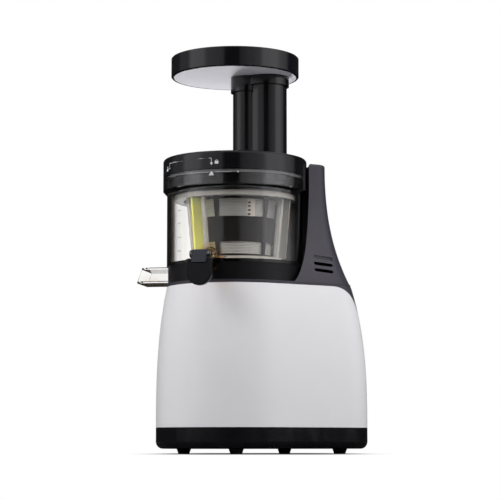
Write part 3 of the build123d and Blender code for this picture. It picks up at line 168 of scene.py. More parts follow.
def makeHandlingGroup():
    # faint wiping streaks and fine hairline scratches from cleaning
    group, given, result = newGroup(
        "handlingMarks",
        [("Vector", "NodeSocketVector", None), ("Scale", "NodeSocketFloat", 60.0)],
        [("Smudge", "NodeSocketFloat"), ("Hairline", "NodeSocketFloat")],
    )
    stretch = addNode(group, "ShaderNodeMapping", {"Scale": (1.0, 1.0, 0.22), "Rotation": (0.3, 0.2, 0.5)})
    group.links.new(given.outputs["Vector"], stretch.inputs["Vector"])
    smudge = addNode(group, "ShaderNodeTexNoise", {"Detail": 5.0, "Roughness": 0.65, "Distortion": 1.2})
    group.links.new(stretch.outputs["Vector"], smudge.inputs["Vector"])
    group.links.new(given.outputs["Scale"], smudge.inputs["Scale"])
    lines = addNode(group, "ShaderNodeTexVoronoi", feature="DISTANCE_TO_EDGE")
    lineStretch = {"Scale": (1.0, 0.16, 0.7), "Rotation": (0.2, 0.9, 0.4)}
    lineSpread = addNode(group, "ShaderNodeMapping", lineStretch)
    group.links.new(given.outputs["Vector"], lineSpread.inputs["Vector"])
    group.links.new(lineSpread.outputs["Vector"], lines.inputs["Vector"])
    group.links.new(calc(group, "MULTIPLY", given.outputs["Scale"], 3.0), lines.inputs["Scale"])
    group.links.new(remap(group, smudge.outputs["Fac"], 0.42, 0.72), result.inputs["Smudge"])
    group.links.new(remap(group, lines.outputs["Distance"], 0.0, 0.02, 1.0, 0.0), result.inputs["Hairline"])
    return group


def makeEdgeGroup():
    # rounds the look of hard edges and says where they are
    group, given, result = newGroup(
        "softEdges",
        [("Radius", "NodeSocketFloat", 0.0005)],
        [("Normal", "NodeSocketVector"), ("Edge", "NodeSocketFloat")],
    )
    bevel = addNode(group, "ShaderNodeBevel", samples=4)
    group.links.new(given.outputs["Radius"], bevel.inputs["Radius"])
    geometry = group.nodes.new("ShaderNodeNewGeometry")
    facing = dot(group, bevel.outputs["Normal"], geometry.outputs["Normal"])
    group.links.new(bevel.outputs["Normal"], result.inputs["Normal"])
    group.links.new(remap(group, facing, 0.99, 0.8), result.inputs["Edge"])
    return group


def makeBrushedGroup():
    # drawn or turned metal: long fine lines along one direction
    group, given, result = newGroup(
        "drawnMetal",
        [("Vector", "NodeSocketVector", None), ("Scale", "NodeSocketFloat", 400.0)],
        [("Lines", "NodeSocketFloat"), ("Stain", "NodeSocketFloat")],
    )
    stretch = addNode(group, "ShaderNodeMapping", {"Scale": (1.0, 1.0, 0.03)})
    group.links.new(given.outputs["Vector"], stretch.inputs["Vector"])
    lines = addNode(group, "ShaderNodeTexNoise", {"Detail": 2.0, "Roughness": 0.5})
    group.links.new(stretch.outputs["Vector"], lines.inputs["Vector"])
    group.links.new(given.outputs["Scale"], lines.inputs["Scale"])
    stain = addNode(group, "ShaderNodeTexNoise", {"Scale": 45.0, "Detail": 4.0})
    group.links.new(given.outputs["Vector"], stain.inputs["Vector"])
    group.links.new(lines.outputs["Fac"], result.inputs["Lines"])
    group.links.new(stain.outputs["Fac"], result.inputs["Stain"])
    return group


mouldedSkin = makeSkinGroup()
handlingMarks = makeHandlingGroup()
softEdges = makeEdgeGroup()
drawnMetal = makeBrushedGroup()


# finishes
def startFinish(name):
    material = bpy.data.materials.new(name)
    material.use_nodes = True
    tree = material.node_tree
    tree.nodes.clear()
    shader = addNode(tree, "ShaderNodeBsdfPrincipled")
    output = addNode(tree, "ShaderNodeOutputMaterial")
    tree.links.new(shader.outputs["BSDF"], output.inputs["Surface"])
    place = addNode(tree, "ShaderNodeTexCoord").outputs["Object"]
    return material, tree, shader, output, place


def addBump(tree, shader, height, depth, normal=None):
    bump = addNode(tree, "ShaderNodeBump", {"Strength": 1.0, "Distance": depth})
    feed(tree, bump.inputs["Height"], height)
    if normal is not None:
        tree.links.new(normal, bump.inputs["Normal"])
    tree.links.new(bump.outputs["Normal"], shader.inputs["Normal"])


def zoneMask(tree, place, centre, radius, fade):
    # 1 inside a ball, 0 outside it
    distance = vectorCalc(tree, "DISTANCE", place, tuple(centre)).outputs["Value"]
    return remap(tree, distance, radius, radius + fade, 1.0, 0.0)


def bandMask(tree, place, low, high):
    # 1 between two heights
    height = addNode(tree, "ShaderNodeSeparateXYZ")
    tree.links.new(place, height.inputs["Vector"])
    above = calc(tree, "GREATER_THAN", height.outputs["Z"], low)
    below = calc(tree, "LESS_THAN", height.outputs["Z"], high)
    return calc(tree, "MULTIPLY", above, below)


def tintZones(tree, place, color, zones):
    for centre, radius, fade, zoneColor in zones:
        color = blendColor(tree, zoneMask(tree, place, centre, radius, fade), color, rgb(zoneColor))
    return color


plasticUsual = dict(
    patchShade=0.93, patchScale=22.0, markScale=55.0, edgeRadius=0.0005, edgeWearAndShine=0.25, hairline=0.04,
    specular=0.5, coat=0.0, coatRoughness=0.05, sheen=0.0, scatter=0.0, scatterDepth=0.002, zones=(),
)


def makePlastic(name, chosen):
    spec = {**plasticUsual, **chosen}
    material, tree, shader, output, place = startFinish(name)
    skinScales = {"Vector": place, "Grain Scale": spec["grainScale"], "Patch Scale": spec["patchScale"]}
    skin = useGroup(tree, mouldedSkin, skinScales)
    marks = useGroup(tree, handlingMarks, {"Vector": place, "Scale": spec["markScale"]})
    edges = useGroup(tree, softEdges, {"Radius": spec["edgeRadius"]})
    patched = rgb(spec["color"], spec["patchShade"])
    color = blendColor(tree, skin.outputs["Patch"], rgb(spec["color"]), patched)
    # edges are lightened towards the edge colour: partly wear, partly painted highlight on rounded edges
    wearAndShine = calc(tree, "MULTIPLY", edges.outputs["Edge"], spec["edgeWearAndShine"])
    wornAndShone = blendColor(tree, wearAndShine, color, rgb(spec.get("edgeWearShineColor", spec["color"])))
    tree.links.new(tintZones(tree, place, wornAndShone, spec["zones"]), shader.inputs["Base Color"])
    low, high = spec["roughness"]
    dull = blendValue(tree, marks.outputs["Smudge"], low, high)
    scratches = calc(tree, "MULTIPLY", marks.outputs["Hairline"], spec["hairline"])
    tree.links.new(calc(tree, "ADD", dull, scratches, clamp=True), shader.inputs["Roughness"])
    plain = {
        "Specular IOR Level": "specular",
        "Coat Weight": "coat",
        "Coat Roughness": "coatRoughness",
        "Sheen Weight": "sheen",
        "Subsurface Weight": "scatter",
        "Subsurface Scale": "scatterDepth",
    }
    for socket, key in plain.items():
        shader.inputs[socket].default_value = spec[key]
    addBump(tree, shader, skin.outputs["Height"], spec["grainDepth"], edges.outputs["Normal"])
    return material


metalUsual = dict(lineScale=500.0, lineDepth=0.00003, edgeRadius=0.0004, metallic=1.0, stainShade=0.86)


def makeMetal(name, chosen):
    spec = {**metalUsual, **chosen}
    material, tree, shader, output, place = startFinish(name)
    drawn = useGroup(tree, drawnMetal, {"Vector": place, "Scale": spec["lineScale"]})
    edges = useGroup(tree, softEdges, {"Radius": spec["edgeRadius"]})
    stained = rgb(spec["color"], spec["stainShade"])
    color = blendColor(tree, drawn.outputs["Stain"], stained, rgb(spec["color"]))
    tree.links.new(color, shader.inputs["Base Color"])
    low, high = spec["roughness"]
    tree.links.new(blendValue(tree, drawn.outputs["Lines"], low, high), shader.inputs["Roughness"])
    shader.inputs["Metallic"].default_value = spec["metallic"]
    addBump(tree, shader, drawn.outputs["Lines"], spec["lineDepth"], edges.outputs["Normal"])
    return material


clearUsual = dict(
    zones=(), paintedShadeBand=(0.0, 0.0), ripple=0.00002, markScale=48.0, swirlScale=30.0, swirlShare=0.12,
    cornerWidth=0.0007, cornerShadeShare=0.75,
)


def makeClear(name, chosen):
    # clear moulding; shadow rays pass, so that what is inside stays lit
    spec = {**clearUsual, **chosen}
    material, tree, shader, output, place = startFinish(name)
    marks = useGroup(tree, handlingMarks, {"Vector": place, "Scale": spec["markScale"]})
    color = tintZones(tree, place, rgb(spec["color"]), spec["zones"])
    swirl = addNode(tree, "ShaderNodeTexNoise", {"Scale": spec["swirlScale"], "Detail": 2.0})
    tree.links.new(place, swirl.inputs["Vector"])
    swirled = calc(tree, "MULTIPLY", swirl.outputs["Fac"], spec["swirlShare"])
    flow = blendColor(tree, swirled, color, rgb(spec["flowColor"]))
    # grazing rims and corners are painted dark: painted shade, standing for the dark rims that bent light
    # shows in clear plastic
    slanted = addNode(tree, "ShaderNodeLayerWeight", {"Blend": 0.5}).outputs["Facing"]
    grazing = remap(tree, slanted, spec["edgeStart"], spec["edgeEnd"], kind="SMOOTHSTEP")
    corner = useGroup(tree, softEdges, {"Radius": spec["cornerWidth"]}).outputs["Edge"]
    # a band between two given heights is painted dark as well: painted shade
    dark = calc(tree, "MAXIMUM", grazing, bandMask(tree, place, *spec["paintedShadeBand"]))
    dark = calc(tree, "MAXIMUM", dark, calc(tree, "MULTIPLY", corner, spec["cornerShadeShare"]))
    rimShadedColor = blendColor(tree, dark, flow, rgb(spec["paintedRimShade"]))
    tree.links.new(rimShadedColor, shader.inputs["Base Color"])
    low, high = spec["roughness"]
    tree.links.new(blendValue(tree, marks.outputs["Smudge"], low, high), shader.inputs["Roughness"])
    shader.inputs["IOR"].default_value = spec["ior"]
    shader.inputs["Transmission Weight"].default_value = spec["transmission"]
    addBump(tree, shader, marks.outputs["Smudge"], spec["ripple"])
    passing = addNode(tree, "ShaderNodeBsdfTransparent")
    shade = blendColor(tree, spec["shadowTint"], flow, rgb((0, 0, 0)))
    tree.links.new(shade, passing.inputs["Color"])
    light = addNode(tree, "ShaderNodeLightPath")
    mixer = addNode(tree, "ShaderNodeMixShader")
    tree.links.new(light.outputs["Is Shadow Ray"], mixer.inputs["Fac"])
    tree.links.new(shader.outputs["BSDF"], mixer.inputs[1])
    tree.links.new(passing.outputs["BSDF"], mixer.inputs[2])
    tree.links.new(mixer.outputs["Shader"], output.inputs["Surface"])
    return material


spoutAngle, pulpAngle, shadedArm = -52.0, -132.0, 41.0
spoutRoot = around(spoutAngle, 0.076, bowlTop - 0.086)
# the wiper blade on this arm is painted dark grey: painted shade where the column behind it keeps light off
# it
shadedWiper = around(shadedArm, 0.051, bowlTop - 0.054)
ductFloor = around(pulpAngle, 0.083, bowlTop - 0.1065)
# the bowl's floor is painted dark across this band: painted shade
bowlFloor = (bowlTop - 0.0898, bowlTop - 0.0864)  # the thickness of the bowl's floor

finishes = {
    "white_gloss": dict(
        make=makePlastic, color=(0.80, 0.79, 0.81), patchShade=0.985, roughness=(0.34, 0.42),
        grainScale=700.0, grainDepth=0.000012, hairline=0.02, coat=0.12, coatRoughness=0.3,
        edgeWearShineColor=(0.9, 0.9, 0.9),
    ),
    "black_gloss": dict(
        make=makePlastic, color=(0.0055, 0.0053, 0.0065), roughness=(0.10, 0.20), grainScale=500.0,
        grainDepth=0.000006, edgeWearShineColor=(0.05, 0.05, 0.055), coat=0.1,
    ),
    "black_satin": dict(
        make=makePlastic, color=(0.006, 0.006, 0.007), specular=0.3, roughness=(0.30, 0.40),
        grainScale=1400.0, grainDepth=0.00003, edgeWearShineColor=(0.06, 0.06, 0.065),
    ),
    "slate_satin": dict(
        make=makePlastic, color=(0.044, 0.041, 0.052), roughness=(0.38, 0.48), grainScale=1500.0,
        grainDepth=0.00003, edgeWearShineColor=(0.10, 0.10, 0.12), edgeWearAndShine=0.4,
    ),
    "grey_satin": dict(
        make=makePlastic, color=(0.040, 0.043, 0.055), roughness=(0.40, 0.5), grainScale=1300.0,
        grainDepth=0.00003, edgeWearShineColor=(0.12, 0.12, 0.14),
    ),
    "black_rubber": dict(
        make=makePlastic, color=(0.012, 0.012, 0.012), roughness=(0.62, 0.8), grainScale=900.0,
        grainDepth=0.00008, edgeWearShineColor=(0.04, 0.04, 0.04), sheen=0.15,
    ),
    "grey_silicone": dict(
        make=makePlastic, color=(0.16, 0.16, 0.17), roughness=(0.45, 0.6), grainScale=800.0,
        grainDepth=0.00003, scatter=0.15, edgeWearShineColor=(0.24, 0.24, 0.25),
    ),
    "green_silicone": dict(
        make=makePlastic, color=(0.78, 0.76, 0.10), patchShade=0.9, roughness=(0.34, 0.5),
        grainScale=600.0, grainDepth=0.00003, scatter=0.25, scatterDepth=0.003,
        # painted shade: the blade on the shaded arm is painted dark grey
        edgeWearShineColor=(0.72, 0.70, 0.16), zones=((shadedWiper, 0.040, 0.002, (0.26, 0.25, 0.23)),),
    ),
    "strainer_black": dict(
        make=makePlastic, color=(0.011, 0.008, 0.0075), roughness=(0.28, 0.42), grainScale=900.0,
        grainDepth=0.00002, edgeWearShineColor=(0.09, 0.07, 0.06),
    ),
    "screw_black": dict(
        make=makePlastic, color=(0.022, 0.018, 0.018), roughness=(0.25, 0.4), grainScale=500.0,
        grainDepth=0.00003, edgeWearShineColor=(0.08, 0.07, 0.07),
    ),
    "grey_housing": dict(
        make=makePlastic, color=(0.20, 0.21, 0.22), roughness=(0.5, 0.62), grainScale=1000.0,
        grainDepth=0.00004, edgeWearShineColor=(0.3, 0.3, 0.31),
    ),
    "component_black": dict(
        make=makePlastic, color=(0.02, 0.02, 0.024), roughness=(0.25, 0.35), grainScale=700.0,
        grainDepth=0.00001, edgeWearShineColor=(0.08, 0.08, 0.08),
    ),
    "board_green": dict(
        make=makePlastic, color=(0.012, 0.11, 0.045), roughness=(0.3, 0.42), grainScale=2200.0,
        grainDepth=0.00003, edgeWearShineColor=(0.3, 0.26, 0.12), edgeWearAndShine=0.6,
    ),
    "nylon": dict(
        make=makePlastic, color=(0.72, 0.70, 0.63), patchShade=0.9, roughness=(0.4, 0.52),
        grainScale=800.0, grainDepth=0.00002, scatter=0.2, edgeWearShineColor=(0.8, 0.78, 0.72),
    ),
    # its pale, lilac-cast grey is painted reflection: it stands for the white floor mirrored in the feed
    # tray's glossy black underside
    "pale_plastic": dict(
        make=makePlastic, color=(0.78, 0.77, 0.82), patchShade=0.98, roughness=(0.3, 0.4),
        grainScale=800.0, grainDepth=0.00001, edgeWearShineColor=(0.7, 0.7, 0.74),
    ),
    "steel": dict(
        make=makeMetal, color=(0.58, 0.57, 0.56), roughness=(0.22, 0.38),
    ),
    "steel_mesh": dict(
        make=makeMetal, color=(0.84, 0.81, 0.77), metallic=0.6, roughness=(0.26, 0.44), edgeRadius=0.0001,
    ),
    "motor_steel": dict(
        make=makeMetal, color=(0.32, 0.33, 0.34), roughness=(0.35, 0.55),
    ),
    "bronze": dict(
        make=makeMetal, color=(0.56, 0.38, 0.20), roughness=(0.35, 0.5), lineScale=900.0,
    ),
    "smoke_clear": dict(
        make=makeClear, color=(1.0, 0.997, 0.99), flowColor=(0.985, 0.975, 0.96), roughness=(0.008, 0.03),
        ior=1.49, transmission=1.0, edgeStart=0.50, edgeEnd=0.66, paintedRimShade=(0.035, 0.028, 0.023),
        shadowTint=0.15, paintedShadeBand=bowlFloor,
        zones=(
            (spoutRoot, 0.015, 0.004, (0.86, 0.68, 0.46)),
            (ductFloor, 0.016, 0.008, (0.66, 0.47, 0.30)),
        ),
    ),
    "frame_grey": dict(
        make=makeClear, color=(0.66, 0.63, 0.58), flowColor=(0.50, 0.475, 0.44), roughness=(0.16, 0.3),
        ior=1.45, transmission=0.55, ripple=0.00004, edgeStart=0.5, edgeEnd=1.0,
        paintedRimShade=(0.34, 0.32, 0.29), shadowTint=0.3,
    ),
}
finishOf = {slot: spec["make"](slot, spec) for slot, spec in finishes.items()}
slotOf = {entry["node"]: entry["material_slot"] for entry in frame["record"]["subparts"]}
for nodeName, cadObject in cadNodes.items():
    cadObject.data.materials.clear()
    cadObject.data.materials.append(finishOf[slotOf[nodeName]])
print("finishes on the frame:", len(finishOf))


# printed marks
def makePrint(name, color, roughness=(0.35, 0.5)):
    grain = dict(grainScale=1500.0, grainDepth=0.000008, edgeRadius=0.00005, edgeWearAndShine=0.0)
    return makePlastic(name, dict(color=color, roughness=roughness, **grain))


def wrapShape(builder, outline, radius, angle, height, thick, slope=0.0):
    # an outline in arc length and height, laid on an upright cylinder or cone and given a little thickness
    rings = []
    for depth in (0.0, thick):
        ring = []
        for along, up in outline:
            turn = math.radians(angle) + along / radius
            out = radius + depth + slope * up
            spot = Vector((out * math.cos(turn), out * math.sin(turn), height + up))
            ring.append(builder.verts.new(driveAxis + spot))
        rings.append(ring)
    builder.faces.new(rings[1])
    builder.faces.new(rings[0][::-1])
    for one in range(len(outline)):
        two = (one + 1) % len(outline)
        builder.faces.new((rings[0][one], rings[0][two], rings[1][two], rings[1][one]))


def stripShape(start, end, low, high, steps):
    # a band along the arc, cut into steps so that it follows the curve
    lower = [(start + (end - start) * i / steps, low) for i in range(steps + 1)]
    upper = [(end - (end - start) * i / steps, high) for i in range(steps + 1)]
    return lower + upper


def finishMesh(name, builder, material, body):
    bmesh.ops.recalc_face_normals(builder, faces=builder.faces)
    mesh = bpy.data.meshes.new(name)
    builder.to_mesh(mesh)
    builder.free()
    piece = bpy.data.objects.new(name, mesh)
    bpy.context.scene.collection.objects.link(piece)
    mesh.materials.append(material)
    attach(piece, body)
    return piece


lidPrint = {
    "openAngle": -95.0,  # where the open mark sits
    "closeAngle": -50.0,
    "railHeight": 0.0104,  # heights are from the lid's seat
    "lineWidth": 0.00045,
    "tickDrop": 0.0042,
    "arrowHigh": 0.0098,
    "arrowLow": 0.0035,
    "arrowHalf": 0.0016,
    "lockWidth": 0.0036,
    "lockHeight": 0.0027,
    "lockGap": 0.0052,
    "lockLift": (0.0012, -0.0002),  # of the closed and the open lock, above the closing arrow's foot
    "bowRadii": (0.36, 0.22),  # shares of the lock's width
    "bowSteps": 6,
    "openLift": 0.0007,  # the bow of the open lock
    "openLeg": 0.0002,
    "headHeight": 0.0026,
    "headLap": 0.0004,
    "smallShare": 0.7,
    "smallHeight": 0.0018,
    "smallDrop": 0.0020,
    "railSteps": 40,
    "thickness": 0.00008,
    "color": (0.72, 0.72, 0.73),
}


samePoint = 1e-6  # metres within which two points are one


def padlock(builder, spec, radius, angle, height, isOpen):
    width, tall, thick = spec["lockWidth"], spec["lockHeight"], spec["thickness"]
    case = [(-width / 2, 0), (width / 2, 0), (width / 2, tall), (-width / 2, tall)]
    wrapShape(builder, case, radius, angle, height, thick)
    outer, inner = (width * share for share in spec["bowRadii"])
    lift = tall + (spec["openLift"] if isOpen else 0.0)
    turns = [math.pi * i / spec["bowSteps"] for i in range(spec["bowSteps"] + 1)]
    outerBow = [(outer * math.cos(turn), lift + outer * math.sin(turn)) for turn in turns]
    innerBow = [(inner * math.cos(turn), lift + inner * math.sin(turn)) for turn in reversed(turns)]
    foot = lift - spec["openLeg"] if isOpen else tall
    legs = [(outer, tall)] + outerBow + [(-outer, foot), (-inner, foot)] + innerBow + [(inner, tall)]
    clean = []
    for point in legs:
        if not clean or math.dist(point, clean[-1]) > samePoint:
            clean.append(point)
    wrapShape(builder, clean, radius, angle, height, thick)


def arrowHead(half, tall):
    return [(0, 0), (half, tall), (-half, tall)]


def makeLidPrint(spec):
    builder = bmesh.new()
    radius, thick = lidRadius, spec["thickness"]
    openAngle, closeAngle = spec["openAngle"], spec["closeAngle"]
    half = spec["lineWidth"] / 2
    rail = bowlTop + spec["railHeight"]
    span = math.radians(closeAngle - openAngle) * radius
    wrapShape(builder, stripShape(0, span, -half, half, spec["railSteps"]), radius, openAngle, rail, thick)
    wrapShape(builder, stripShape(-half, half, -spec["tickDrop"], 0, 1), radius, openAngle, rail, thick)
    arrowHigh, arrowLow = bowlTop + spec["arrowHigh"], bowlTop + spec["arrowLow"]
    stem = arrowHigh - arrowLow - spec["headHeight"] + spec["headLap"]
    wrapShape(builder, stripShape(-half, half, -stem, half, 1), radius, closeAngle, arrowHigh, thick)
    head = arrowHead(spec["arrowHalf"], spec["headHeight"])
    wrapShape(builder, head, radius, closeAngle, arrowLow, thick)
    small = arrowHead(spec["arrowHalf"] * spec["smallShare"], spec["smallHeight"])
    wrapShape(builder, small, radius, openAngle, rail - spec["tickDrop"] - spec["smallDrop"], thick)
    step = math.degrees(spec["lockGap"] / radius)
    closedLift, openLift = spec["lockLift"]
    padlock(builder, spec, radius, closeAngle + step, arrowLow + closedLift, False)
    padlock(builder, spec, radius, openAngle - step, arrowLow + openLift, True)
    return finishMesh("lid_marks", builder, printWhite, "lid")


ringPrint = {
    "angle": -50.0,
    "pointerTop": -0.0021,
    "pointerHeight": 0.0043,
    "pointerHalf": 0.0028,
    "lineDrop": -0.0032,
    "lineWidth": 0.0003,
    "leftFrom": -69.3,
    "leftTo": -52.6,
    "rightFrom": -46.6,
    "rightTo": -34.2,
    "dotAngle": -29.2,
    "dotRadius": 0.0009,
    "dotSteps": 12,
    "lineSteps": 16,
    "thickness": 0.00008,
}


def makeRingPrint(spec):
    builder = bmesh.new()
    radius, thick, half = lidRadius, spec["thickness"], spec["lineWidth"] / 2
    base = bowlTop + spec["pointerTop"] - spec["pointerHeight"]
    pointer = [(-spec["pointerHalf"], 0), (spec["pointerHalf"], 0), (0, spec["pointerHeight"])]
    wrapShape(builder, pointer, radius, spec["angle"], base, thick)
    line = bowlTop + spec["lineDrop"]
    for start, end in ((spec["leftFrom"], spec["leftTo"]), (spec["rightFrom"], spec["rightTo"])):
        length = math.radians(end - start) * radius
        strip = stripShape(0, length, -half, half, spec["lineSteps"])
        wrapShape(builder, strip, radius, start, line, thick)
    reach, turns = spec["dotRadius"], [math.tau * i / spec["dotSteps"] for i in range(spec["dotSteps"])]
    dotShape = [(reach * math.cos(turn), reach * math.sin(turn)) for turn in turns]
    wrapShape(builder, dotShape, radius, spec["dotAngle"], line, thick)
    return finishMesh("ring_marks", builder, printWhite, "bowl")


levelPrint = {
    "angle": -87.2,
    "length": 0.0060,
    "width": 0.0011,
    "radius": 0.0677,
    "heights": (-0.0372, -0.0498, -0.0635, -0.0768),  # from the lid's seat
    "steps": 6,
    "thickness": 0.00008,
    "color": (0.60, 0.59, 0.57),
}


def makeLevelPrint(spec):
    builder = bmesh.new()
    half = spec["width"] / 2
    tick = stripShape(0, spec["length"], -half, half, spec["steps"])
    for drop in spec["heights"]:
        wrapShape(builder, tick, spec["radius"], spec["angle"], bowlTop + drop, spec["thickness"])
    return finishMesh("level_marks", builder, printGrey, "bowl")


printWhite = makePrint("printWhite", lidPrint["color"])
printGrey = makePrint("printGrey", levelPrint["color"])
printBlack = makePrint("printBlack", (0.01, 0.01, 0.01))
makeLidPrint(lidPrint)
makeRingPrint(ringPrint)
makeLevelPrint(levelPrint)
print("marks printed on lid and bowl")


# turned pieces
def turnedPiece(name, profile, material, body, steps=128, sharpAngle=40):
    # a closed profile of radius and height, turned about the drive axis
    builder = bmesh.new()
    rings = []
    for radius, height in profile:
        rings.append([builder.verts.new(around(360 * i / steps, radius, height)) for i in range(steps)])
    for one in range(len(profile)):
        lower, upper = rings[one], rings[(one + 1) % len(profile)]
        for i in range(steps):
            j = (i + 1) % steps
            builder.faces.new((lower[i], lower[j], upper[j], upper[i]))
    piece = finishMesh(name, builder, material, body)
    piece.data.shade_smooth()
    piece.data.set_sharp_from_angle(angle=math.radians(sharpAngle))
    return piece


skirtLip = {
    "outer": 0.0647,
    "inner": 0.0625,
    "low": -0.0172,  # from the lid's seat
    "high": -0.0080,
}


def makeSkirtLip(spec):
    low, high = bowlTop + spec["low"], bowlTop + spec["high"]
    profile = [(spec["inner"], low), (spec["outer"], low), (spec["outer"], high), (spec["inner"], high)]
    return turnedPiece("skirt_lip", profile, finishOf["black_gloss"], "lid")


makeSkirtLip(skirtLip)
print("lip of the lid's skirt turned")


# helpers for Geometry Nodes
def newGeometryTree(name, inputs):
    tree = bpy.data.node_groups.new(name, "GeometryNodeTree")
    tree.interface.new_socket("Geometry", in_out="INPUT", socket_type="NodeSocketGeometry")
    for label, kind, value in inputs:
        socket = tree.interface.new_socket(label, in_out="INPUT", socket_type=kind)
        if value is not None:
            socket.default_value = value
    tree.interface.new_socket("Geometry", in_out="OUTPUT", socket_type="NodeSocketGeometry")
    return tree, tree.nodes.new("NodeGroupInput"), tree.nodes.new("NodeGroupOutput")


def closeTree(tree, output, geometry, material):
    real = addNode(tree, "GeometryNodeRealizeInstances")
    paint = addNode(tree, "GeometryNodeSetMaterial")
    tree.links.new(geometry, real.inputs["Geometry"])
    tree.links.new(real.outputs["Geometry"], paint.inputs["Geometry"])
    paint.inputs["Material"].default_value = material
    tree.links.new(paint.outputs["Geometry"], output.inputs["Geometry"])


def runTree(name, tree, values, body):
    # evaluates the tree on an empty mesh and keeps the result as a plain mesh
    holder = bpy.data.objects.new(name, bpy.data.meshes.new(name + "_seed"))
    bpy.context.scene.collection.objects.link(holder)
    modifier = holder.modifiers.new("build", "NODES")
    modifier.node_group = tree
    sockets = {item.name: item.identifier for item in tree.interface.items_tree if item.in_out == "INPUT"}
    for label, value in values.items():
        modifier[sockets[label]] = value
    bpy.context.view_layer.update()
    depsgraph = bpy.context.evaluated_depsgraph_get()
    mesh = bpy.data.meshes.new_from_object(holder.evaluated_get(depsgraph))
    holder.modifiers.clear()
    holder.data = mesh
    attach(holder, body)
    return holder


# perforated strainer sheet
strainerSheet = {
    "pitch": 0.0015,
    "holeShare": 0.52,
    "slant": 0.55,  # sideways run of the hole rows for each unit of height
    "thickness": 0.0006,
    "lowRadius": 0.0360,  # outer face of the sheet at the strainer's base
    "highRadius": 0.0420,
    "baseHeight": -0.0015,  # cone's base, from the lowest point of the sheet
    "coneHeight": 0.0702,
    "bands": ((0.0, 0.0135), (0.0375, 0.0205)),  # start above the lowest point, and height
}
weldDistance = 0.00001


def makePerforatedTree(material):
    tree, given, output = newGeometryTree("perforatedSheet", [
        ("Across", "NodeSocketInt", 160),
        ("Rows", "NodeSocketInt", 10),
        ("Band Low", "NodeSocketFloat", 0.0),
        ("Band Height", "NodeSocketFloat", 0.02),
        ("Cone Base", "NodeSocketFloat", 0.0),
        ("Cone Height", "NodeSocketFloat", 0.07),
        ("Low Radius", "NodeSocketFloat", 0.036),
        ("High Radius", "NodeSocketFloat", 0.042),
        ("Hole Share", "NodeSocketFloat", 0.5),
        ("Slant", "NodeSocketFloat", 0.5),
        ("Thickness", "NodeSocketFloat", 0.0006),
        ("Centre", "NodeSocketVector", None),
    ])
    ask = given.outputs
    grid = addNode(tree, "GeometryNodeMeshGrid", {"Size X": 1.0, "Size Y": 1.0})
    tree.links.new(calc(tree, "ADD", ask["Across"], 1), grid.inputs["Vertices X"])
    tree.links.new(calc(tree, "ADD", ask["Rows"], 1), grid.inputs["Vertices Y"])
    singly = {"Offset Scale": 0.0, "Individual": True}
    inset = addNode(tree, "GeometryNodeExtrudeMesh", singly, mode="FACES")
    shrink = addNode(tree, "GeometryNodeScaleElements", domain="FACE")
    punch = addNode(tree, "GeometryNodeDeleteGeometry", domain="FACE")
    tree.links.new(grid.outputs["Mesh"], inset.inputs["Mesh"])
    tree.links.new(inset.outputs["Mesh"], shrink.inputs["Geometry"])
    tree.links.new(inset.outputs["Top"], shrink.inputs["Selection"])
    tree.links.new(ask["Hole Share"], shrink.inputs["Scale"])
    tree.links.new(shrink.outputs["Geometry"], punch.inputs["Geometry"])
    tree.links.new(inset.outputs["Top"], punch.inputs["Selection"])
    # wrap the flat sheet round the cone
    place = addNode(tree, "ShaderNodeSeparateXYZ")
    tree.links.new(addNode(tree, "GeometryNodeInputPosition").outputs["Position"], place.inputs["Vector"])
    rise = calc(tree, "MULTIPLY", calc(tree, "ADD", place.outputs["Y"], 0.5), ask["Band Height"])
    height = calc(tree, "ADD", rise, ask["Band Low"])
    share = calc(tree, "DIVIDE", calc(tree, "SUBTRACT", height, ask["Cone Base"]), ask["Cone Height"])
    widening = calc(tree, "SUBTRACT", ask["High Radius"], ask["Low Radius"])
    radius = calc(tree, "ADD", ask["Low Radius"], calc(tree, "MULTIPLY", share, widening))
    lean = calc(tree, "DIVIDE", calc(tree, "MULTIPLY", rise, ask["Slant"]), ask["Low Radius"])
    turn = calc(tree, "ADD", calc(tree, "MULTIPLY", place.outputs["X"], math.tau), lean)
    spot = addNode(tree, "ShaderNodeCombineXYZ")
    tree.links.new(calc(tree, "MULTIPLY", radius, calc(tree, "COSINE", turn)), spot.inputs["X"])
    tree.links.new(calc(tree, "MULTIPLY", radius, calc(tree, "SINE", turn)), spot.inputs["Y"])
    tree.links.new(height, spot.inputs["Z"])
    wrap = addNode(tree, "GeometryNodeSetPosition")
    tree.links.new(punch.outputs["Geometry"], wrap.inputs["Geometry"])
    centred = vectorCalc(tree, "ADD", spot.outputs["Vector"], ask["Centre"]).outputs["Vector"]
    tree.links.new(centred, wrap.inputs["Position"])
    # join the seam and give the sheet its thickness
    weld = addNode(tree, "GeometryNodeMergeByDistance", {"Distance": weldDistance})
    tree.links.new(wrap.outputs["Geometry"], weld.inputs["Geometry"])
    inwards = addNode(tree, "GeometryNodeFlipFaces")
    tree.links.new(weld.outputs["Geometry"], inwards.inputs["Mesh"])
    thicken = addNode(tree, "GeometryNodeExtrudeMesh", {"Individual": False}, mode="FACES")
    tree.links.new(inwards.outputs["Mesh"], thicken.inputs["Mesh"])
    tree.links.new(ask["Thickness"], thicken.inputs["Offset Scale"])
    skin = addNode(tree, "GeometryNodeJoinGeometry")
    tree.links.new(thicken.outputs["Mesh"], skin.inputs["Geometry"])
    tree.links.new(weld.outputs["Geometry"], skin.inputs["Geometry"])
    seal = addNode(tree, "GeometryNodeMergeByDistance", {"Distance": weldDistance})
    tree.links.new(skin.outputs["Geometry"], seal.inputs["Geometry"])
    closeTree(tree, output, seal.outputs["Geometry"], material)
    return tree


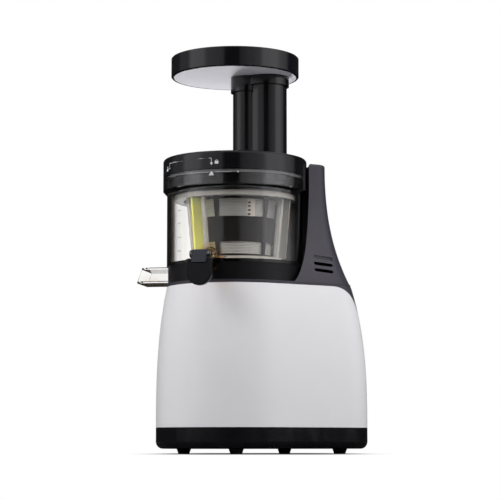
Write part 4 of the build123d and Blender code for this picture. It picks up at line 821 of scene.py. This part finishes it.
def makeStrainerSheet(spec):
    tree = makePerforatedTree(finishOf["steel_mesh"])
    girth = math.tau * spec["lowRadius"]
    for index, (start, tall) in enumerate(spec["bands"]):
        values = {
            "Across": round(girth / spec["pitch"]),
            "Rows": round(tall / spec["pitch"]),
            "Band Low": strainerLow.z + start,
            "Band Height": tall,
            "Cone Base": strainerLow.z + spec["baseHeight"],
            "Cone Height": spec["coneHeight"],
            "Low Radius": spec["lowRadius"],
            "High Radius": spec["highRadius"],
            "Hole Share": spec["holeShare"],
            "Slant": spec["slant"],
            "Thickness": spec["thickness"],
            "Centre": tuple(driveAxis),
        }
        piece = runTree(f"strainer_sheet_{index + 1}", tree, values, "bowl")
        if index == 0:
            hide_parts("strainer_mesh")
        print(piece.name, len(piece.data.polygons), "faces")


makeStrainerSheet(strainerSheet)

# the sheet's welded seam, with its column of square marks
strainerSeam = {
    "angle": -11.3,
    "from": -0.0022,  # edges of the strip, in arc length from the middle of the squares
    "to": 0.0060,
    "heights": (-0.0289, -0.0324, -0.0364, -0.0404),  # of the squares, from the lid's seat
    "square": (0.0026, 0.0019),
    "proud": 0.00015,
    "steps": (6, 2),  # across the strip and a square
    "color": (0.62, 0.55, 0.49),
}


def makeSeam(spec):
    sheet = strainerSheet
    slope = (sheet["highRadius"] - sheet["lowRadius"]) / sheet["coneHeight"]
    start, tall = sheet["bands"][1]
    low = strainerLow.z + start
    radius = sheet["lowRadius"] + slope * (start - sheet["baseHeight"]) + spec["proud"]
    angle, proud = spec["angle"], spec["proud"]
    stripSteps, squareSteps = spec["steps"]
    builder = bmesh.new()
    strip = stripShape(spec["from"], spec["to"], 0, tall, stripSteps)
    wrapShape(builder, strip, radius, angle, low, proud, slope)
    finishMesh("strainer_seam", builder, makePrint("seamMetal", spec["color"]), "bowl")
    builder = bmesh.new()
    wide, high = spec["square"]
    for drop in spec["heights"]:
        up = bowlTop + drop - low
        outline = stripShape(-wide / 2, wide / 2, up - high / 2, up + high / 2, squareSteps)
        wrapShape(builder, outline, radius + proud, angle, low, proud, slope)
    finishMesh("strainer_code", builder, printBlack, "bowl")


makeSeam(strainerSeam)
print("seam laid on the strainer sheet")


# floor, light and camera
studio = {
    "azimuth": 58.0,  # of the camera, in degrees round the object
    "distance": 1.830,
    "aside": 0.01505,  # centre of the view, to the right of the drive axis
    "eyeHeight": 0.010,
    "pitch": 5.985,
    "lens": 133.0,
    "sensor": 36.0,
    "clip": (0.1, 60.0),
    "ambient": (0.26, 0.26, 0.27),
    # rays through clear plastic see the white backdrop up to the second bend, in degrees, and miss it
    # from the first
    "backdrop": (42.0, 26.0),
    "nearGlow": 0.10,  # what they see beside it
    "innerGlow": 3.0,  # light that reaches what is behind the clear bowl
    # reflections round the horizon: angle from the camera's side, then brightness
    "strips": (
        (-180, 0.05), (-150, 0.02), (-126, 0.04), (-108, 0.26), (-94, 0.30), (-84, 1.1), (-60, 1.1),
        (-50, 0.55), (-22, 0.42), (-16, 0.008), (6, 0.008), (12, 0.25), (30, 0.42), (46, 0.60),
        (54, 1.3), (76, 1.3), (96, 0.62), (106, 0.40), (114, 0.02), (150, 0.02), (180, 0.05),
    ),
    "stripBlue": 1.03,
    "boxFoot": (0.4, 5.5),  # elevation where the softboxes begin, and where they are at full strength
    "underBoxes": 0.015,
    "overhead": 0.55,
    "overheadRise": (0.45, 0.8),  # upward share of the direction where it begins and is full
    # angle from the camera's side, distance, height, width, watts, height aimed at, spread in degrees
    "lamps": {
        "lampLeft": (-70.0, 1.0, 0.95, 0.6, 11.0, 0.2, 180.0),
        "lampRight": (66.0, 1.0, 0.95, 0.6, 11.0, 0.2, 180.0),
        "lampTop": (0.0, 0.4, 1.7, 1.2, 5.0, 0.2, 180.0),
        "lampUnder": (-172.0, 0.7, 0.03, 0.2, 0.8, 0.42, 36.0),
    },
    "floorHalf": 8.0,
    "floorTone": 0.42,
    "floorGloss": 0.03,  # what gloss sees of the floor
    "contact": 0.05,  # how near the floor is darkened by what stands on it
    "shadowCentre": 0.024,  # the base's middle, seen from the camera's side
    "shadowSide": (0.045, 0.125),  # full shadow within the first, none past the second
    "shadowBack": (0.06, 0.30),
    "shadowFront": (-0.20, -0.06),
    "shadowDepth": 0.75,
    "contactRange": (0.12, 0.92),  # of the open share of the sky above the floor
    "contactTone": 0.02,
}
turn = math.radians(studio["azimuth"])
towardsCamera = Vector((math.sin(turn), -math.cos(turn), 0))
cameraRight = Vector((math.cos(turn), math.sin(turn), 0))


def makeCamera(spec):
    data = bpy.data.cameras.new("camera")
    data.lens, data.sensor_width = spec["lens"], spec["sensor"]
    data.clip_start, data.clip_end = spec["clip"]
    camera = bpy.data.objects.new("camera", data)
    bpy.context.scene.collection.objects.link(camera)
    eye = Vector((0, 0, spec["eyeHeight"]))
    camera.location = driveAxis + towardsCamera * spec["distance"] + cameraRight * spec["aside"] + eye
    pitch = math.radians(spec["pitch"])
    look = -towardsCamera * math.cos(pitch) + Vector((0, 0, math.sin(pitch)))
    camera.rotation_mode = "QUATERNION"
    camera.rotation_quaternion = look.to_track_quat("-Z", "Y")
    bpy.context.scene.camera = camera


def makeWorld(spec):
    world = bpy.data.worlds.new("studio")
    bpy.context.scene.world = world
    world.use_nodes = True
    tree = world.node_tree
    tree.nodes.clear()
    direction = addNode(tree, "ShaderNodeTexCoord").outputs["Generated"]
    ahead = dot(tree, direction, tuple(towardsCamera))
    aside = dot(tree, direction, tuple(cameraRight))
    angle = calc(tree, "ARCTAN2", aside, ahead)
    position = calc(tree, "ADD", calc(tree, "DIVIDE", angle, math.tau), 0.5)
    ramp = addNode(tree, "ShaderNodeValToRGB")
    ramp.color_ramp.interpolation = "EASE"
    stops = ramp.color_ramp.elements
    while len(stops) > 1:
        stops.remove(stops[-1])
    for index, (degrees, level) in enumerate(spec["strips"]):
        stop = stops[0] if index == 0 else stops.new(degrees / 360 + 0.5)
        stop.position = degrees / 360 + 0.5
        stop.color = (level, level, level * spec["stripBlue"], 1)
    tree.links.new(position, ramp.inputs["Fac"])
    upwards = addNode(tree, "ShaderNodeSeparateXYZ")
    tree.links.new(direction, upwards.inputs["Vector"])
    overhead = remap(tree, upwards.outputs["Z"], *spec["overheadRise"], kind="SMOOTHSTEP")
    top = rgb((spec["overhead"],) * 3)
    boxLow, boxFull = (math.sin(math.radians(rise)) for rise in spec["boxFoot"])
    foot = remap(tree, upwards.outputs["Z"], boxLow, boxFull, kind="SMOOTHSTEP")
    boxes = blendColor(tree, foot, rgb((spec["underBoxes"],) * 3), ramp.outputs["Color"])
    reflected = blendColor(tree, overhead, boxes, top)
    path = addNode(tree, "ShaderNodeLightPath")
    lit = blendColor(tree, path.outputs["Is Glossy Ray"], rgb(spec["ambient"]), reflected)
    backdropDark, backdropWhite = (math.cos(math.radians(bend)) for bend in spec["backdrop"])
    backdrop = remap(tree, ahead, -backdropDark, -backdropWhite, spec["nearGlow"])
    mirrored = calc(tree, "MINIMUM", path.outputs["Glossy Depth"], 1.0)  # inner gloss shows the softboxes
    seenThrough = blendColor(tree, mirrored, backdrop, reflected)
    inside = calc(tree, "MINIMUM", path.outputs["Diffuse Depth"], 1.0)
    bent = blendColor(tree, inside, seenThrough, rgb((spec["innerGlow"],) * 3))
    through = blendColor(tree, path.outputs["Is Transmission Ray"], lit, bent)
    shown = blendColor(tree, path.outputs["Is Camera Ray"], through, (1, 1, 1, 1))
    background = addNode(tree, "ShaderNodeBackground", {"Strength": 1.0})
    output = addNode(tree, "ShaderNodeOutputWorld")
    tree.links.new(shown, background.inputs["Color"])
    tree.links.new(background.outputs["Background"], output.inputs["Surface"])


def makeLamp(name, place, target, width, watts, spread):
    data = bpy.data.lights.new(name, "AREA")
    data.shape, data.size, data.energy = "SQUARE", width, watts
    data.spread = math.radians(spread)
    lamp = bpy.data.objects.new(name, data)
    bpy.context.scene.collection.objects.link(lamp)
    lamp.location = place
    lamp.rotation_mode = "QUATERNION"
    lamp.rotation_quaternion = (target - place).to_track_quat("-Z", "Y")
    lamp.visible_camera = False
    lamp.visible_glossy = False  # the world carries the softboxes that gloss shows
    lamp.visible_transmission = False


def makeFloor(spec):
    mesh = bpy.data.meshes.new("floor")
    half = spec["floorHalf"]
    corners = [(-half, -half, 0), (half, -half, 0), (half, half, 0), (-half, half, 0)]
    mesh.from_pydata(corners, [], [(0, 1, 2, 3)])
    floor = bpy.data.objects.new("floor", mesh)
    bpy.context.scene.collection.objects.link(floor)
    material = bpy.data.materials.new("paleFloor")
    material.use_nodes = True
    tree = material.node_tree
    tree.nodes.clear()
    path = addNode(tree, "ShaderNodeLightPath")
    geometry = addNode(tree, "ShaderNodeNewGeometry")
    matt = addNode(tree, "ShaderNodeBsdfDiffuse")
    tones = rgb((spec["floorTone"],) * 3), rgb((spec["floorGloss"],) * 3)
    bounce = blendColor(tree, path.outputs["Is Glossy Ray"], *tones)
    tree.links.new(bounce, matt.inputs["Color"])
    glow = addNode(tree, "ShaderNodeEmission", {"Strength": 1.0})
    closeness = addNode(tree, "ShaderNodeAmbientOcclusion", {"Distance": spec["contact"]}, samples=16)
    shadow = remap(tree, closeness.outputs["AO"], *spec["contactRange"], spec["contactTone"])
    # a painted shadow under and behind the object, set by position where the front light would throw one
    position = geometry.outputs["Position"]
    fromAxis = vectorCalc(tree, "SUBTRACT", position, tuple(driveAxis)).outputs["Vector"]
    sideways = dot(tree, fromAxis, tuple(cameraRight))
    across = calc(tree, "ABSOLUTE", calc(tree, "SUBTRACT", sideways, spec["shadowCentre"]))
    behind = dot(tree, fromAxis, tuple(-towardsCamera))
    sideFull, sideEnd = spec["shadowSide"]
    backFull, backEnd = spec["shadowBack"]
    paintedShadow = 1.0
    edges = ((across, sideEnd, sideFull), (behind, backEnd, backFull), (behind, *spec["shadowFront"]))
    for source, start, end in edges:
        paintedShadow = calc(tree, "MULTIPLY", remap(tree, source, start, end, kind="SMOOTHSTEP"), paintedShadow)
    lightLeft = calc(tree, "SUBTRACT", 1.0, calc(tree, "MULTIPLY", paintedShadow, spec["shadowDepth"]))
    floorLight = calc(tree, "MULTIPLY", shadow, lightLeft)
    # like the backdrop, the floor is dark where a ray through clear plastic is bent far
    back = dot(tree, geometry.outputs["Incoming"], tuple(towardsCamera))
    bendDark, bendWhite = (math.cos(math.radians(bend)) for bend in spec["backdrop"])
    straight = remap(tree, back, bendDark, bendWhite, spec["nearGlow"])
    share = calc(tree, "MAXIMUM", path.outputs["Is Camera Ray"], straight)
    tree.links.new(calc(tree, "MULTIPLY", floorLight, share), glow.inputs["Color"])
    seen = calc(tree, "MAXIMUM", path.outputs["Is Camera Ray"], path.outputs["Is Transmission Ray"])
    mixer = addNode(tree, "ShaderNodeMixShader")
    output = addNode(tree, "ShaderNodeOutputMaterial")
    tree.links.new(seen, mixer.inputs["Fac"])
    tree.links.new(matt.outputs["BSDF"], mixer.inputs[1])
    tree.links.new(glow.outputs["Emission"], mixer.inputs[2])
    tree.links.new(mixer.outputs["Shader"], output.inputs["Surface"])
    mesh.materials.append(material)


def makeStudio(spec):
    for name, (degrees, distance, height, width, watts, aim, spread) in spec["lamps"].items():
        swing = math.radians(degrees)
        direction = towardsCamera * math.cos(swing) + cameraRight * math.sin(swing)
        target = driveAxis + Vector((0, 0, aim))
        place = driveAxis + direction * distance + Vector((0, 0, height))
        makeLamp(name, place, target, width, watts, spread)


makeCamera(studio)
makeWorld(studio)
makeStudio(studio)
makeFloor(studio)
bpy.context.scene.view_settings.view_transform = "Standard"
print("studio ready")
